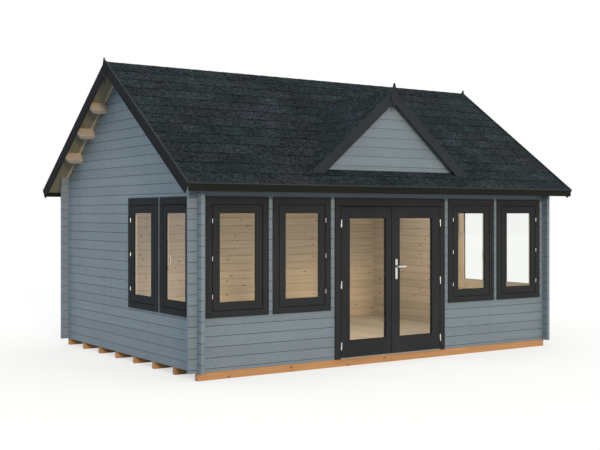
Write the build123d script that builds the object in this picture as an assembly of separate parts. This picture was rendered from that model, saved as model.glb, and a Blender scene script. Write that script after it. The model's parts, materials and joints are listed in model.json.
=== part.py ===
from build123d import *
import math
import os

os.makedirs("parts", exist_ok=True)

# log walls
WALL_DEP = 3850.0
WALL_T = 44.0
WALL_H = 2232.0
LOG_H = 118.0
LOG_STUB = 100.0
JOINT_DROP = 22.5
GROOVE_D = 4.0
GROOVE_W = 9.0
STARTER_SHARE = 0.5
NOTCH_SHARE = 0.25

# floor
BEARER_COUNT = 8
BEARER_W = 60.0
BEARER_H = 90.0
BEARER_END_IN = 10.0
BEARER_FACE_IN = 5.0
FLOOR_T = 20.0
FLOOR_GAP = 6.0

# windows
WIN_SASH_W = 660.0
WIN_SASH_BOTTOM = 664.0
WIN_HEAD_DROP = 375.0
WIN_SASH_T = 40.0
WIN_SASH_SET = 3.0
WIN_STILE = 96.0
WIN_SEAM_W = 10.0
WIN_SEAM_D = 16.0
CASING_T = 15.0
CASING_SIDE = 79.0
CASING_TOP = 86.0
CASING_BOTTOM = 69.0
LINING_T = 40.0
LINING_PROUD = 8.0
GLASS_T = 6.0
GLASS_SET = 11.0
GLASS_BITE = 10.0
CASING_GAP = 56.0
DOOR_SIDE_GAP = 62.0
FRONT_CORNER_GAP = 106.0
SIDE_CORNER_GAP = 81.0
WIN_HINGE_R = 5.0
WIN_HINGE_SIDES = 10
WIN_HINGE_H = 48.0
WIN_HINGE_LOW_IN = 166.0
WIN_HINGE_TOP_IN = 185.0
WIN_GRIP_PLATE_W = 28.0
WIN_GRIP_PLATE_H = 62.0
WIN_GRIP_PLATE_T = 8.0
WIN_GRIP_LEN = 110.0
WIN_GRIP_W = 18.0
WIN_GRIP_T = 14.0
WIN_GRIP_OFF = 30.0

# double door
DOOR_OPEN_W = 1582.0
DOOR_HEAD_DROP = 388.0
DOOR_CASING_SIDE = 84.0
DOOR_CASING_TOP = 99.0
DOOR_LINING_T = 45.0
DOOR_STOP_W = 15.0
DOOR_STOP_T = 15.0
DOOR_STOP_GAP = 6.0
THRESHOLD_H = 14.0
LEAF_T = 44.0
LEAF_SET = 2.0
LEAF_SIDE_GAP = 5.0
LEAF_TOP_GAP = 6.0
LEAF_FLOOR_GAP = 6.0
LEAF_MEET_GAP = 7.0
LEAF_MEET_OFF = 9.5
LEAF_STILE = 132.0
LEFT_MEET_STILE = 88.0
RIGHT_MEET_STILE = 129.0
LEAF_TOP_RAIL = 140.0
LEAF_BOTTOM_RAIL = 198.0
HINGE_R = 7.0
HINGE_OFF = 9.0
HINGE_H = 86.0
HINGE_GAP = 1.5
HINGE_PIN_R = 4.0
HINGE_PIN_SIDES = 12
HINGE_PLAY = 0.1
HINGE_PIN_SHORT = 6.0
HINGE_WING_W = 9.0
HINGE_WING_T = 5.5
HINGE_LOW_IN = 158.0
HINGE_TOP_IN = 211.0

# handle
PLATE_W = 32.0
PLATE_H = 254.0
PLATE_T = 7.0
PLATE_BOTTOM = 934.0
BACKSET = 71.0
LEVER_Z = 1093.0
LEVER_LEN = 114.0
LEVER_W = 23.0
LEVER_T = 12.0
LEVER_CHAMFER = 3.5
LEVER_BACK = 10.0
LEVER_OFF = 48.0
NECK_R = 8.0
NECK_PLAY = 0.1
SPINDLE_W = 8.0
SPINDLE_HOLE_R = 11.0

# main roof
PITCH_DEG = 35.5
EAVE_OUT = 276.0
GABLE_OUT = 261.0
DECK_T = 19.0
SHINGLE_T = 6.0
BARGE_UP = 11.0
BARGE_T = 20.0
BARGE_W = 131.0
FASCIA_T = 18.0
FASCIA_H = 92.0
FASCIA_IN = 6.0
CAP_W = 150.0
CAP_T = 5.0
PURLIN_W = 70.0
PURLIN_H = 130.0
PURLIN_CHAMFER = 75.0
PURLIN_SHARES = (0.303, 0.524, 0.745)

# finials
FINIAL_W = 132.0
FINIAL_H = 335.0
FINIAL_T = 12.0
FINIAL_UP = 35.0
FINIAL_TIP_W = 20.0
FINIAL_NECK_W = 46.0
FINIAL_NECK_SHARE = 0.14
FINIAL_WIDE_SHARE = 0.46

# false dormer over the door
DORMER_PITCH_DEG = 40.5
DORMER_DROP = 356.0
DORMER_BARGE_OUT = 50.0
DORMER_BARGE_W = 127.0
DORMER_ROOF_T = 25.0
DORMER_PANEL_IN = 22.0
DORMER_PANEL_T = 20.0
DORMER_LINE_UP = 32.0
DORMER_FINIAL_UP = 80.0

# derived places: the door and its windows set the length of the front wall
CASE_HALF = WIN_SASH_W / 2 + CASING_SIDE
DOOR_CASE_HALF = DOOR_OPEN_W / 2 + DOOR_CASING_SIDE
FRONT_WIN_IN = DOOR_CASE_HALF + DOOR_SIDE_GAP + CASE_HALF
FRONT_WIN_OUT = FRONT_WIN_IN + 2 * CASE_HALF + CASING_GAP
HX = FRONT_WIN_OUT + CASE_HALF + FRONT_CORNER_GAP
HY = WALL_DEP / 2
SIDE_WIN_FRONT = HY - SIDE_CORNER_GAP - CASE_HALF
SIDE_WIN_REAR = SIDE_WIN_FRONT - 2 * CASE_HALF - CASING_GAP
WIN_SASH_H = WALL_H - WIN_HEAD_DROP - WIN_SASH_BOTTOM
DOOR_OPEN_TOP = WALL_H - DOOR_HEAD_DROP
Z0 = BEARER_H
SLOPE = math.tan(math.radians(PITCH_DEG))
COSP = math.cos(math.radians(PITCH_DEG))
SINP = math.sin(math.radians(PITCH_DEG))
EAVE_Y = HY + EAVE_OUT
GABLE_X = HX + GABLE_OUT
DECK_X = GABLE_X - BARGE_T
DECK_LOW_RIDGE = Z0 + WALL_H + HY * SLOPE
DECK_TOP_RIDGE = DECK_LOW_RIDGE + DECK_T / COSP
SHINGLE_RIDGE = DECK_TOP_RIDGE + SHINGLE_T / COSP
BARGE_RIDGE = SHINGLE_RIDGE + BARGE_UP / COSP
TALL = BARGE_RIDGE + FINIAL_H
WIDE = GABLE_X + EAVE_Y


def slab(x0, x1, y0, y1, z0, z1):
    size = Box(x1 - x0, y1 - y0, z1 - z0)
    return Pos((x0 + x1) / 2, (y0 + y1) / 2, (z0 + z1) / 2) * size


def prism_x(points, x0, x1):
    face = make_face(Polyline(*[(x0, y, z) for y, z in points], close=True))
    return extrude(face, amount=x1 - x0, dir=(1, 0, 0))


def prism_y(points, y0, y1):
    face = make_face(Polyline(*[(x, y0, z) for x, z in points], close=True))
    return extrude(face, amount=y1 - y0, dir=(0, 1, 0))


def rod_z(x, y, z0, z1, r):
    return Pos(x, y, (z0 + z1) / 2) * Cylinder(r, z1 - z0)


def rod_y(x, y0, y1, z, r):
    return Pos(x, (y0 + y1) / 2, z) * Rot(90, 0, 0) * Cylinder(r, y1 - y0)


def roof_block(ridge):
    low = ridge - EAVE_Y * SLOPE
    return prism_x([(-EAVE_Y, 0), (-EAVE_Y, low), (0, ridge), (EAVE_Y, low), (EAVE_Y, 0)], -WIDE, WIDE)


def under_roof(shape, ridge):
    return shape & roof_block(ridge)


def over_roof(shape, ridge):
    return shape - roof_block(ridge)


def save(name, *solids):
    flat = []
    for item in solids:
        flat.extend(item.solids())
    whole = flat[0] if len(flat) == 1 else Compound(children=flat)
    export_step(whole, os.path.join("parts", name + ".step"))


# log walls: a grooved profile run along each wall
def log_lines(first, top):
    lines = []
    z = first
    while z < top - GROOVE_W:
        if z > Z0 + GROOVE_W:
            lines.append(z)
        z += LOG_H
    return lines


def log_profile(outer, inner, top, lines):
    turn = GROOVE_D if inner > outer else -GROOVE_D
    half = GROOVE_W / 2
    points = [(outer, Z0)]
    for z in lines:
        points += [(outer, z - half), (outer + turn, z), (outer, z + half)]
    points += [(outer, top), (inner, top), (inner, Z0)]
    return points


WALL_TOP = DECK_LOW_RIDGE + LOG_H
EAVE_TOP = Z0 + WALL_H + LOG_H
LONG_LINES = log_lines(Z0 + LOG_H * STARTER_SHARE - JOINT_DROP, EAVE_TOP)
SIDE_LINES = log_lines(Z0 + LOG_H - JOINT_DROP, DECK_LOW_RIDGE)


def teeth(first, x0, y0):
    boxes = []
    z = first
    tall = LOG_H * (1 - 2 * NOTCH_SHARE)
    while z < EAVE_TOP:
        low = max(z, Z0)
        boxes.append(slab(x0, x0 + WALL_T, y0, y0 + WALL_T, low, z + tall))
        z += LOG_H
    return boxes


CORNERS = [(-HX, -HY), (HX - WALL_T, -HY), (-HX, HY - WALL_T), (HX - WALL_T, HY - WALL_T)]
SIDE_FIRST = Z0 + LOG_H * NOTCH_SHARE
LONG_FIRST = SIDE_FIRST - LOG_H * (1 - 2 * NOTCH_SHARE)


def long_wall(outer, inner, corners):
    end = HX + LOG_STUB
    wall = prism_x(log_profile(outer, inner, EAVE_TOP, LONG_LINES), -end, end)
    cuts = []
    for x0, y0 in corners:
        cuts += teeth(SIDE_FIRST, x0, y0)
    return under_roof(wall - cuts, DECK_LOW_RIDGE)


def side_wall(outer, inner, corners):
    end = HY + LOG_STUB
    wall = prism_y(log_profile(outer, inner, WALL_TOP, SIDE_LINES), -end, end)
    cuts = []
    for x0, y0 in corners:
        cuts += teeth(LONG_FIRST, x0, y0)
    return under_roof(wall - cuts, DECK_LOW_RIDGE)


front_wall = long_wall(-HY, -HY + WALL_T, CORNERS[:2])
back_wall = long_wall(HY, HY - WALL_T, CORNERS[2:])
left_wall = side_wall(-HX, -HX + WALL_T, [CORNERS[0], CORNERS[2]])
right_wall = side_wall(HX, HX - WALL_T, [CORNERS[1], CORNERS[3]])

# openings for the window linings
OPEN_HALF = WIN_SASH_W / 2 + LINING_T
SILL = Z0 + WIN_SASH_BOTTOM - LINING_T
HEAD = Z0 + WIN_SASH_BOTTOM + WIN_SASH_H + LINING_T
DOOR_HALF = DOOR_OPEN_W / 2 + DOOR_LINING_T
DOOR_HEAD = Z0 + DOOR_OPEN_TOP + DOOR_LINING_T
FAR = WIDE

door_hole = slab(-DOOR_HALF, DOOR_HALF, -FAR, 0, 0, DOOR_HEAD)
head_zone = slab(-FAR, FAR, -FAR, 0, HEAD, TALL) + slab(-DOOR_HALF, DOOR_HALF, -FAR, 0, DOOR_HEAD, TALL)
front_head = front_wall & (head_zone - door_hole)
front_low = (front_wall & slab(-FAR, FAR, -FAR, 0, 0, SILL)) - door_hole
front_posts = front_wall & slab(-FAR, FAR, -FAR, 0, SILL, HEAD)
for centre in (-FRONT_WIN_OUT, -FRONT_WIN_IN, FRONT_WIN_IN, FRONT_WIN_OUT):
    front_posts -= slab(centre - OPEN_HALF, centre + OPEN_HALF, -FAR, 0, 0, TALL)
front_posts -= slab(-DOOR_HALF, DOOR_HALF, -FAR, 0, 0, TALL)

REAR_EDGE = -SIDE_WIN_REAR + OPEN_HALF


def split_side(wall, x0, x1):
    rear = wall & slab(x0, x1, REAR_EDGE, FAR, 0, HEAD)
    low = wall & slab(x0, x1, -FAR, REAR_EDGE, 0, SILL)
    posts = wall & slab(x0, x1, -FAR, REAR_EDGE, SILL, HEAD)
    for centre in (-SIDE_WIN_REAR, -SIDE_WIN_FRONT):
        posts -= slab(x0, x1, centre - OPEN_HALF, centre + OPEN_HALF, 0, TALL)
    gable = wall & slab(x0, x1, -FAR, FAR, HEAD, TALL)
    return rear, low, posts, gable


left_rear, left_low, left_posts, left_gable = split_side(left_wall, -FAR, 0)
right_rear, right_low, right_posts, right_gable = split_side(right_wall, 0, FAR)


# purlins set square to the roof, lower corner of each end cut back
def purlin(share, side):
    s0 = EAVE_SLOPE * share
    corners = [(s0, 0), (s0 + PURLIN_W, 0), (s0 + PURLIN_W, PURLIN_H), (s0, PURLIN_H)]
    section = [(side * (s * COSP - d * SINP), DECK_LOW_RIDGE - s * SINP - d * COSP) for s, d in corners]
    beam = prism_x(section, -DECK_X, DECK_X)
    for end in (-1, 1):
        tip = end * DECK_X
        back = end * (DECK_X - PURLIN_CHAMFER)
        low = DECK_LOW_RIDGE - (s0 + PURLIN_W) * SINP - PURLIN_H * COSP
        corner = [(tip, low), (back, low), (tip, low + PURLIN_CHAMFER)]
        beam -= prism_y(corner, -WIDE, WIDE)
    return beam


EAVE_SLOPE = HY / COSP
ridge_half = PURLIN_W / 2
ridge_edge = DECK_LOW_RIDGE - ridge_half * SLOPE
ridge_low = ridge_edge - PURLIN_H
ridge_section = [(-ridge_half, ridge_low), (ridge_half, ridge_low), (ridge_half, ridge_edge)]
ridge_section += [(0, DECK_LOW_RIDGE), (-ridge_half, ridge_edge)]
ridge_beam = prism_x(ridge_section, -DECK_X, DECK_X)
for end in (-1, 1):
    tip = end * DECK_X
    back = end * (DECK_X - PURLIN_CHAMFER)
    corner = [(tip, ridge_low), (back, ridge_low), (tip, ridge_low + PURLIN_CHAMFER)]
    ridge_beam -= prism_y(corner, -WIDE, WIDE)
purlins = [ridge_beam]
for share in PURLIN_SHARES:
    purlins += [purlin(share, 1), purlin(share, -1)]
left_gable = left_gable - purlins
right_gable = right_gable - purlins

save("front_wall_low", front_low)
save("front_wall_posts", front_posts)
save("front_wall_head", front_head)
save("back_wall", back_wall)
save("left_wall_rear", left_rear)
save("left_wall_low", left_low)
save("left_wall_posts", left_posts)
save("left_gable", left_gable)
save("right_wall_rear", right_rear)
save("right_wall_low", right_low)
save("right_wall_posts", right_posts)
save("right_gable", right_gable)
save("purlins", *purlins)

# floor
bearers = []
span = WALL_DEP - 2 * BEARER_FACE_IN - BEARER_W
for i in range(BEARER_COUNT):
    y0 = -HY + BEARER_FACE_IN + span * i / (BEARER_COUNT - 1)
    bearers.append(slab(-HX + BEARER_END_IN, HX - BEARER_END_IN, y0, y0 + BEARER_W, 0, Z0))
save("floor_bearers", *bearers)
floor_x = HX - WALL_T - FLOOR_GAP
floor_y = HY - WALL_T - FLOOR_GAP
door_back = -HY + WALL_T + LINING_PROUD
floor = slab(-floor_x, floor_x, -floor_y, floor_y, Z0, Z0 + FLOOR_T)
sill_x = DOOR_HALF + FLOOR_GAP
floor -= slab(-sill_x, sill_x, -FAR, door_back + FLOOR_GAP, Z0, Z0 + FLOOR_T)
save("floor_boards", floor)


# windows, built about the wall's outer face and set on each wall
def window(hinge_side):
    z0 = Z0 + WIN_SASH_BOTTOM
    z1 = z0 + WIN_SASH_H
    half = WIN_SASH_W / 2
    hole = slab(-half, half, -CASING_T, WALL_T + LINING_PROUD, z0, z1)
    case = slab(-half - CASING_SIDE, half + CASING_SIDE, -CASING_T, 0, z0 - CASING_BOTTOM, z1 + CASING_TOP)
    lining = slab(-OPEN_HALF, OPEN_HALF, 0, WALL_T + LINING_PROUD, SILL, HEAD)
    frame = case + lining - hole
    y0 = WIN_SASH_SET - CASING_T
    sash = slab(-half, half, y0, y0 + WIN_SASH_T, z0, z1)
    inset = half - WIN_SEAM_W
    seam_y = y0 + WIN_SEAM_D
    seam = slab(-half, half, y0, seam_y, z0, z1)
    seam -= slab(-inset, inset, y0, seam_y, z0 + WIN_SEAM_W, z1 - WIN_SEAM_W)
    sash -= seam
    in_x = half - WIN_STILE
    in_z0 = z0 + WIN_STILE
    in_z1 = z1 - WIN_STILE
    mid_y = y0 + GLASS_SET
    g = GLASS_BITE
    pane = slab(-in_x - g, in_x + g, mid_y - GLASS_T / 2, mid_y + GLASS_T / 2, in_z0 - g, in_z1 + g)
    sash = sash - slab(-in_x, in_x, y0, y0 + WIN_SASH_T, in_z0, in_z1) - pane
    hinges = []
    barrel = extrude(RegularPolygon(WIN_HINGE_R, WIN_HINGE_SIDES), amount=WIN_HINGE_H)
    front = slab(-FAR, FAR, -FAR, -CASING_T, 0, TALL)
    mid_z = (z0 + z1) / 2
    low = z0 + WIN_HINGE_LOW_IN
    high = z1 - WIN_HINGE_TOP_IN
    for zc in (low, (low + high) / 2, high):
        place = Pos(hinge_side * half, -CASING_T - WIN_HINGE_R / 2, zc - WIN_HINGE_H / 2)
        hinges.append((place * barrel) & front)
    grip_x = -hinge_side * (half - WIN_STILE / 2)
    yb = y0 + WIN_SASH_T
    pw = WIN_GRIP_PLATE_W / 2
    ph = WIN_GRIP_PLATE_H / 2
    yo = yb + WIN_GRIP_OFF
    gw = WIN_GRIP_W / 2
    grip = slab(grip_x - pw, grip_x + pw, yb, yb + WIN_GRIP_PLATE_T, mid_z - ph, mid_z + ph)
    grip += slab(grip_x - gw, grip_x + gw, yb, yo, mid_z - gw, mid_z + gw)
    grip += slab(grip_x - gw, grip_x + gw, yo, yo + WIN_GRIP_T, mid_z - WIN_GRIP_LEN, mid_z + gw)
    return frame, sash, pane, hinges, grip


places = []
for centre, hinge_side in ((-FRONT_WIN_OUT, -1), (-FRONT_WIN_IN, 1), (FRONT_WIN_IN, -1), (FRONT_WIN_OUT, 1)):
    places.append(("front", Pos(centre, -HY, 0), hinge_side))
for centre, hinge_side in ((-SIDE_WIN_REAR, -1), (-SIDE_WIN_FRONT, 1)):
    places.append(("left", Pos(-HX, centre, 0) * Rot(0, 0, -90), hinge_side))
    places.append(("right", Pos(HX, centre, 0) * Rot(0, 0, 90), -hinge_side))
kinds = {}
for wall, place, hinge_side in places:
    frame, sash, pane, hinges, grip = window(hinge_side)
    group = "front" if wall == "front" else "side"
    kinds.setdefault(group + "_window_frames", []).append(place * frame)
    kinds.setdefault(group + "_window_sashes", []).append(place * sash)
    kinds.setdefault("window_panes", []).append(place * pane)
    kinds.setdefault("window_hinges", []).extend([place * h for h in hinges])
    kinds.setdefault("window_grips", []).append(place * grip)
for name, solids in kinds.items():
    save(name, *solids)

# door frame
face_y = -HY - CASING_T
half = DOOR_OPEN_W / 2
top = Z0 + DOOR_OPEN_TOP
leaf_y0 = face_y + LEAF_SET
leaf_y1 = leaf_y0 + LEAF_T
stop_y0 = leaf_y1 + DOOR_STOP_GAP
stop_y1 = stop_y0 + DOOR_STOP_T
case_half = DOOR_CASE_HALF
jambs = []
for side in (-1, 1):
    case = [side * half, side * case_half]
    line = [side * half, side * DOOR_HALF]
    stop = [side * (half - DOOR_STOP_W), side * half]
    jamb = slab(min(case), max(case), face_y, -HY, Z0, top)
    jamb += slab(min(line), max(line), -HY, stop_y1, Z0, top)
    jamb += slab(min(stop), max(stop), stop_y0, stop_y1, Z0 + THRESHOLD_H, top)
    jambs.append(jamb)
save("door_jambs", *jambs)
head = slab(-case_half, case_half, face_y, -HY, top, top + DOOR_CASING_TOP)
head += slab(-DOOR_HALF, DOOR_HALF, -HY, stop_y1, top, DOOR_HEAD)
lip = half - DOOR_STOP_W
head += slab(-lip, lip, stop_y0, stop_y1, top - DOOR_STOP_W, top + DOOR_LINING_T)
save("door_head", head)
save("door_threshold", slab(-half, half, face_y, stop_y1, Z0, Z0 + THRESHOLD_H))

# leaves
leaf_z0 = Z0 + THRESHOLD_H + LEAF_FLOOR_GAP
leaf_z1 = top - LEAF_TOP_GAP
spindle_x = LEAF_MEET_GAP / 2 - LEAF_MEET_OFF + BACKSET
spindle_z = Z0 + LEVER_Z


def leaf(side, meet_stile):
    meet = side * LEAF_MEET_GAP / 2 - LEAF_MEET_OFF
    edge = side * (half - LEAF_SIDE_GAP)
    xs = sorted([meet, edge])
    frame = slab(xs[0], xs[1], leaf_y0, leaf_y1, leaf_z0, leaf_z1)
    gx0, gx1 = sorted([meet + side * meet_stile, edge - side * LEAF_STILE])
    gz0 = leaf_z0 + LEAF_BOTTOM_RAIL
    gz1 = leaf_z1 - LEAF_TOP_RAIL
    mid = leaf_y0 + GLASS_SET
    g = GLASS_BITE
    pane = slab(gx0 - g, gx1 + g, mid - GLASS_T / 2, mid + GLASS_T / 2, gz0 - g, gz1 + g)
    frame = frame - slab(gx0, gx1, leaf_y0, leaf_y1, gz0, gz1) - pane
    return frame, pane


left_frame, left_pane = leaf(-1, LEFT_MEET_STILE)
right_frame, right_pane = leaf(1, RIGHT_MEET_STILE)
right_frame -= rod_y(spindle_x, leaf_y0, leaf_y1, spindle_z, SPINDLE_HOLE_R)
save("left_leaf_frame", left_frame)
save("left_leaf_pane", left_pane)
save("right_leaf_frame", right_frame)
save("right_leaf_pane", right_pane)

# barrel hinges: lower knuckle and pin on the frame, upper knuckle on the leaf
def pin_z(x, y, z0, z1, r):
    return Pos(x, y, z0) * extrude(RegularPolygon(r, HINGE_PIN_SIDES), amount=z1 - z0)


pin_hole_r = (HINGE_PIN_R + HINGE_PLAY) / math.cos(math.pi / HINGE_PIN_SIDES)
axis_x = half - LEAF_SIDE_GAP / 2
axis_y = face_y - HINGE_OFF
low_z = Z0 + HINGE_LOW_IN
high_z = top - HINGE_TOP_IN
frame_knuckles = []
leaf_knuckles = {-1: [], 1: []}
for side in (-1, 1):
    x = side * axis_x
    for zc in (low_z, (low_z + high_z) / 2, high_z):
        z_low = zc - HINGE_H / 2
        z_high = zc + HINGE_H / 2
        low_top = zc - HINGE_GAP / 2
        up_low = zc + HINGE_GAP / 2
        wing = sorted([x, x + side * HINGE_WING_W])
        knuckle = rod_z(x, axis_y, z_low, low_top, HINGE_R)
        knuckle += slab(wing[0], wing[1], face_y - HINGE_WING_T, face_y, z_low, low_top)
        knuckle += pin_z(x, axis_y, low_top, z_high - HINGE_PIN_SHORT, HINGE_PIN_R)
        frame_knuckles.append(knuckle)
        wing = sorted([x, x - side * HINGE_WING_W])
        upper = rod_z(x, axis_y, up_low, z_high, HINGE_R)
        upper += slab(wing[0], wing[1], leaf_y0 - HINGE_WING_T, leaf_y0, up_low, z_high)
        leaf_knuckles[side].append(upper - pin_z(x, axis_y, up_low, z_high, pin_hole_r))
save("door_frame_hinges", *frame_knuckles)
save("left_leaf_hinges", *leaf_knuckles[-1])
save("right_leaf_hinges", *leaf_knuckles[1])

# handle plates outside and inside, and the lever through the leaf
plate_r = PLATE_W / 2
plate_z0 = Z0 + PLATE_BOTTOM + plate_r
plate_z1 = Z0 + PLATE_BOTTOM + PLATE_H - plate_r
px0 = spindle_x - plate_r
px1 = spindle_x + plate_r
plates = []
for y0, y1 in ((leaf_y0 - PLATE_T, leaf_y0), (leaf_y1, leaf_y1 + PLATE_T)):
    plate = slab(px0, px1, y0, y1, plate_z0, plate_z1)
    plate += rod_y(spindle_x, y0, y1, plate_z0, plate_r)
    plate += rod_y(spindle_x, y0, y1, plate_z1, plate_r)
    plates.append(plate - rod_y(spindle_x, y0, y1, spindle_z, NECK_R + NECK_PLAY))
save("handle_plates", *plates)
out_y = leaf_y0 - LEVER_OFF
in_y = leaf_y1 + LEVER_OFF
sw = SPINDLE_W / 2
lever = slab(spindle_x - sw, spindle_x + sw, leaf_y0, leaf_y1, spindle_z - sw, spindle_z + sw)
lever += rod_y(spindle_x, out_y, leaf_y0, spindle_z, NECK_R)
lever += rod_y(spindle_x, leaf_y1, in_y, spindle_z, NECK_R)
for y in (out_y - LEVER_T, in_y):
    hw = LEVER_W / 2
    c = LEVER_CHAMFER
    bar = [(y, c - hw), (y + c, -hw), (y + LEVER_T - c, -hw), (y + LEVER_T, c - hw)]
    bar += [(y + LEVER_T, hw - c), (y + LEVER_T - c, hw), (y + c, hw), (y, hw - c)]
    bar = [(yy, spindle_z + zz) for yy, zz in bar]
    lever += prism_x(bar, spindle_x - LEVER_BACK, spindle_x + LEVER_LEN)
save("lever_handle", lever)


# main roof
def layer(low_ridge, high_ridge, side, eave):
    points = [(0, low_ridge), (0, high_ridge)]
    points += [(side * eave, high_ridge - eave * SLOPE), (side * eave, low_ridge - eave * SLOPE)]
    return prism_x(points, -DECK_X, DECK_X)


deck_eave = EAVE_Y - FASCIA_IN - FASCIA_T
for side, name in ((-1, "front"), (1, "back")):
    save("roof_deck_" + name, layer(DECK_LOW_RIDGE, DECK_TOP_RIDGE, side, deck_eave))
    save("roof_shingles_" + name, layer(DECK_TOP_RIDGE, SHINGLE_RIDGE, side, deck_eave))
cap_y = CAP_W * COSP
cap_z = cap_y * SLOPE
cap_up = CAP_T / COSP
caps = []
for side in (-1, 1):
    foot = SHINGLE_RIDGE - cap_z
    points = [(0, SHINGLE_RIDGE), (side * cap_y, foot)]
    points += [(side * cap_y, foot + cap_up), (0, SHINGLE_RIDGE + cap_up)]
    caps.append(prism_x(points, -DECK_X, DECK_X))
save("ridge_cap", *caps)
fascia_y1 = EAVE_Y - FASCIA_IN
fascia_top = BARGE_RIDGE - fascia_y1 * SLOPE
fascias = []
for side in (-1, 1):
    ys = sorted([side * deck_eave, side * fascia_y1])
    fascias.append(slab(-DECK_X, DECK_X, ys[0], ys[1], fascia_top - FASCIA_H, fascia_top))
save("fascia_boards", *fascias)


def barge(side):
    foot_z = BARGE_RIDGE - EAVE_Y * SLOPE
    drop = BARGE_W / COSP
    points = [(0, BARGE_RIDGE), (side * EAVE_Y, foot_z)]
    points.append((side * (EAVE_Y - BARGE_W * SINP), foot_z - BARGE_W * COSP))
    points.append((0, BARGE_RIDGE - drop))
    return [prism_x(points, -GABLE_X, -DECK_X), prism_x(points, DECK_X, GABLE_X)]


save("barge_boards_front", *barge(-1))
save("barge_boards_back", *barge(1))


def kite(top):
    wide_z = top - FINIAL_H * FINIAL_WIDE_SHARE
    neck_z = top - FINIAL_H * FINIAL_NECK_SHARE
    right = [(FINIAL_TIP_W / 2, top), (FINIAL_NECK_W / 2, neck_z), (FINIAL_W / 2, wide_z)]
    left = [(-across, z) for across, z in reversed(right)]
    return right + [(0, top - FINIAL_H)] + left


points = kite(BARGE_RIDGE + FINIAL_UP)
finials = [prism_x(points, -GABLE_X - FINIAL_T, -GABLE_X), prism_x(points, GABLE_X, GABLE_X + FINIAL_T)]
save("gable_finials", *finials)

# false dormer
D_SLOPE = math.tan(math.radians(DORMER_PITCH_DEG))
D_COS = math.cos(math.radians(DORMER_PITCH_DEG))
d_barge_top = BARGE_RIDGE - DORMER_DROP
d_roof_top = d_barge_top - BARGE_UP / D_COS
d_roof_low = d_roof_top - DORMER_ROOF_T / D_COS
d_face = -HY - DORMER_BARGE_OUT
d_panel = -HY + DORMER_PANEL_IN


def band(high, low, side):
    reach = side * HX
    drop = abs(reach) * D_SLOPE
    return [(0, low), (0, high), (reach, high - drop), (reach, low - drop)]


for side, name in ((-1, "left"), (1, "right")):
    slope = prism_y(band(d_roof_top, d_roof_low, side), d_face + BARGE_T, 0)
    save("dormer_roof_" + name, over_roof(slope, SHINGLE_RIDGE))
    board = prism_y(band(d_barge_top, d_barge_top - DORMER_BARGE_W / D_COS, side), d_face, d_face + BARGE_T)
    save("dormer_barge_" + name, over_roof(board, SHINGLE_RIDGE))
panel_lines = []
z = Z0 + LOG_H * STARTER_SHARE + DORMER_LINE_UP
while z < d_roof_low:
    panel_lines.append(z)
    z += LOG_H
panel_low = SHINGLE_RIDGE + d_panel * SLOPE
panel_reach = (d_roof_low - panel_low + LOG_H) / D_SLOPE
panel_foot = panel_low - LOG_H
panel_points = [(-panel_reach, panel_foot), (0, d_roof_low), (panel_reach, panel_foot)]
panel = prism_y(panel_points, d_panel, d_panel + DORMER_PANEL_T)
for z in panel_lines:
    if z > panel_low + GROOVE_W and z < d_roof_low - LOG_H:
        cut = [(d_panel, z - GROOVE_W / 2), (d_panel + GROOVE_D, z), (d_panel, z + GROOVE_W / 2)]
        panel -= prism_x(cut, -FAR, FAR)
save("dormer_front", over_roof(panel, SHINGLE_RIDGE))
points = kite(d_barge_top + DORMER_FINIAL_UP)
save("dormer_finial", prism_y(points, d_face - FINIAL_T, d_face))
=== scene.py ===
import json
import math
import random
from collections import namedtuple

import bmesh
import bpy
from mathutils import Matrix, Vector


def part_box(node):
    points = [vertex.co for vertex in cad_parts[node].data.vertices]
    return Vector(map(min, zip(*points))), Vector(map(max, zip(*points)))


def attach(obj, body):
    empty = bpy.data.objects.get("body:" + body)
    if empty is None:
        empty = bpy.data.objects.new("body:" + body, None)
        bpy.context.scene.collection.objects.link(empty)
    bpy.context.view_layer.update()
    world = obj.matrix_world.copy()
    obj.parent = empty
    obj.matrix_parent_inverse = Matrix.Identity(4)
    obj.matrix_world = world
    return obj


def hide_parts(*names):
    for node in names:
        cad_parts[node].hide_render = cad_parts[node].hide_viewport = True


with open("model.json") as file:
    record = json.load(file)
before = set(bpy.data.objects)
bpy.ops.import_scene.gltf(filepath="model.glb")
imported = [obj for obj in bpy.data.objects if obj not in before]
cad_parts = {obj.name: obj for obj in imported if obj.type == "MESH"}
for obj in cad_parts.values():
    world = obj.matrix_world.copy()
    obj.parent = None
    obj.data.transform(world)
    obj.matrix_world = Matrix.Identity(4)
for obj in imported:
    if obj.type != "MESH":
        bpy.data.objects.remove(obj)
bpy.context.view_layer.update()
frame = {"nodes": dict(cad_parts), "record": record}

bl_info = {
    "name": "Log Garden House",
    "version": (1, 0, 0),
    "blender": (4, 5, 0),
    "location": "View3D > Sidebar > Garden House",
    "description": "Finishes a grey-blue log garden house around its fixed frame",
    "category": "Object",
}

# bodies and material slots
HOUSE = "house"
LEFT_LEAF = "left_leaf"
RIGHT_LEAF = "right_leaf"
LEVER = "lever"
DARK_WOOD = "anthracite_wood"
BARE_WOOD = "natural_wood"
FELT = "roof_felt"
STEEL = "hardware_steel"

# nodes that share a finish
LONG_WALLS = ("front_wall_low", "front_wall_posts", "front_wall_head", "back_wall")
SIDE_WALLS = (
    "left_wall_rear", "left_wall_low", "left_wall_posts", "left_gable",
    "right_wall_rear", "right_wall_low", "right_wall_posts", "right_gable",
)
WINDOW_JOINERY = (
    "front_window_frames", "front_window_sashes", "side_window_frames", "side_window_sashes",
)
LEAVES = ("left_leaf_frame", "right_leaf_frame")
DOOR_FRAME = ("door_jambs", "door_head")
GABLE_BARGES = ("barge_boards_front", "barge_boards_back")
DORMER_BARGES = ("dormer_barge_left", "dormer_barge_right")
HINGES = ("window_hinges", "door_frame_hinges", "left_leaf_hinges", "right_leaf_hinges")

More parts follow.
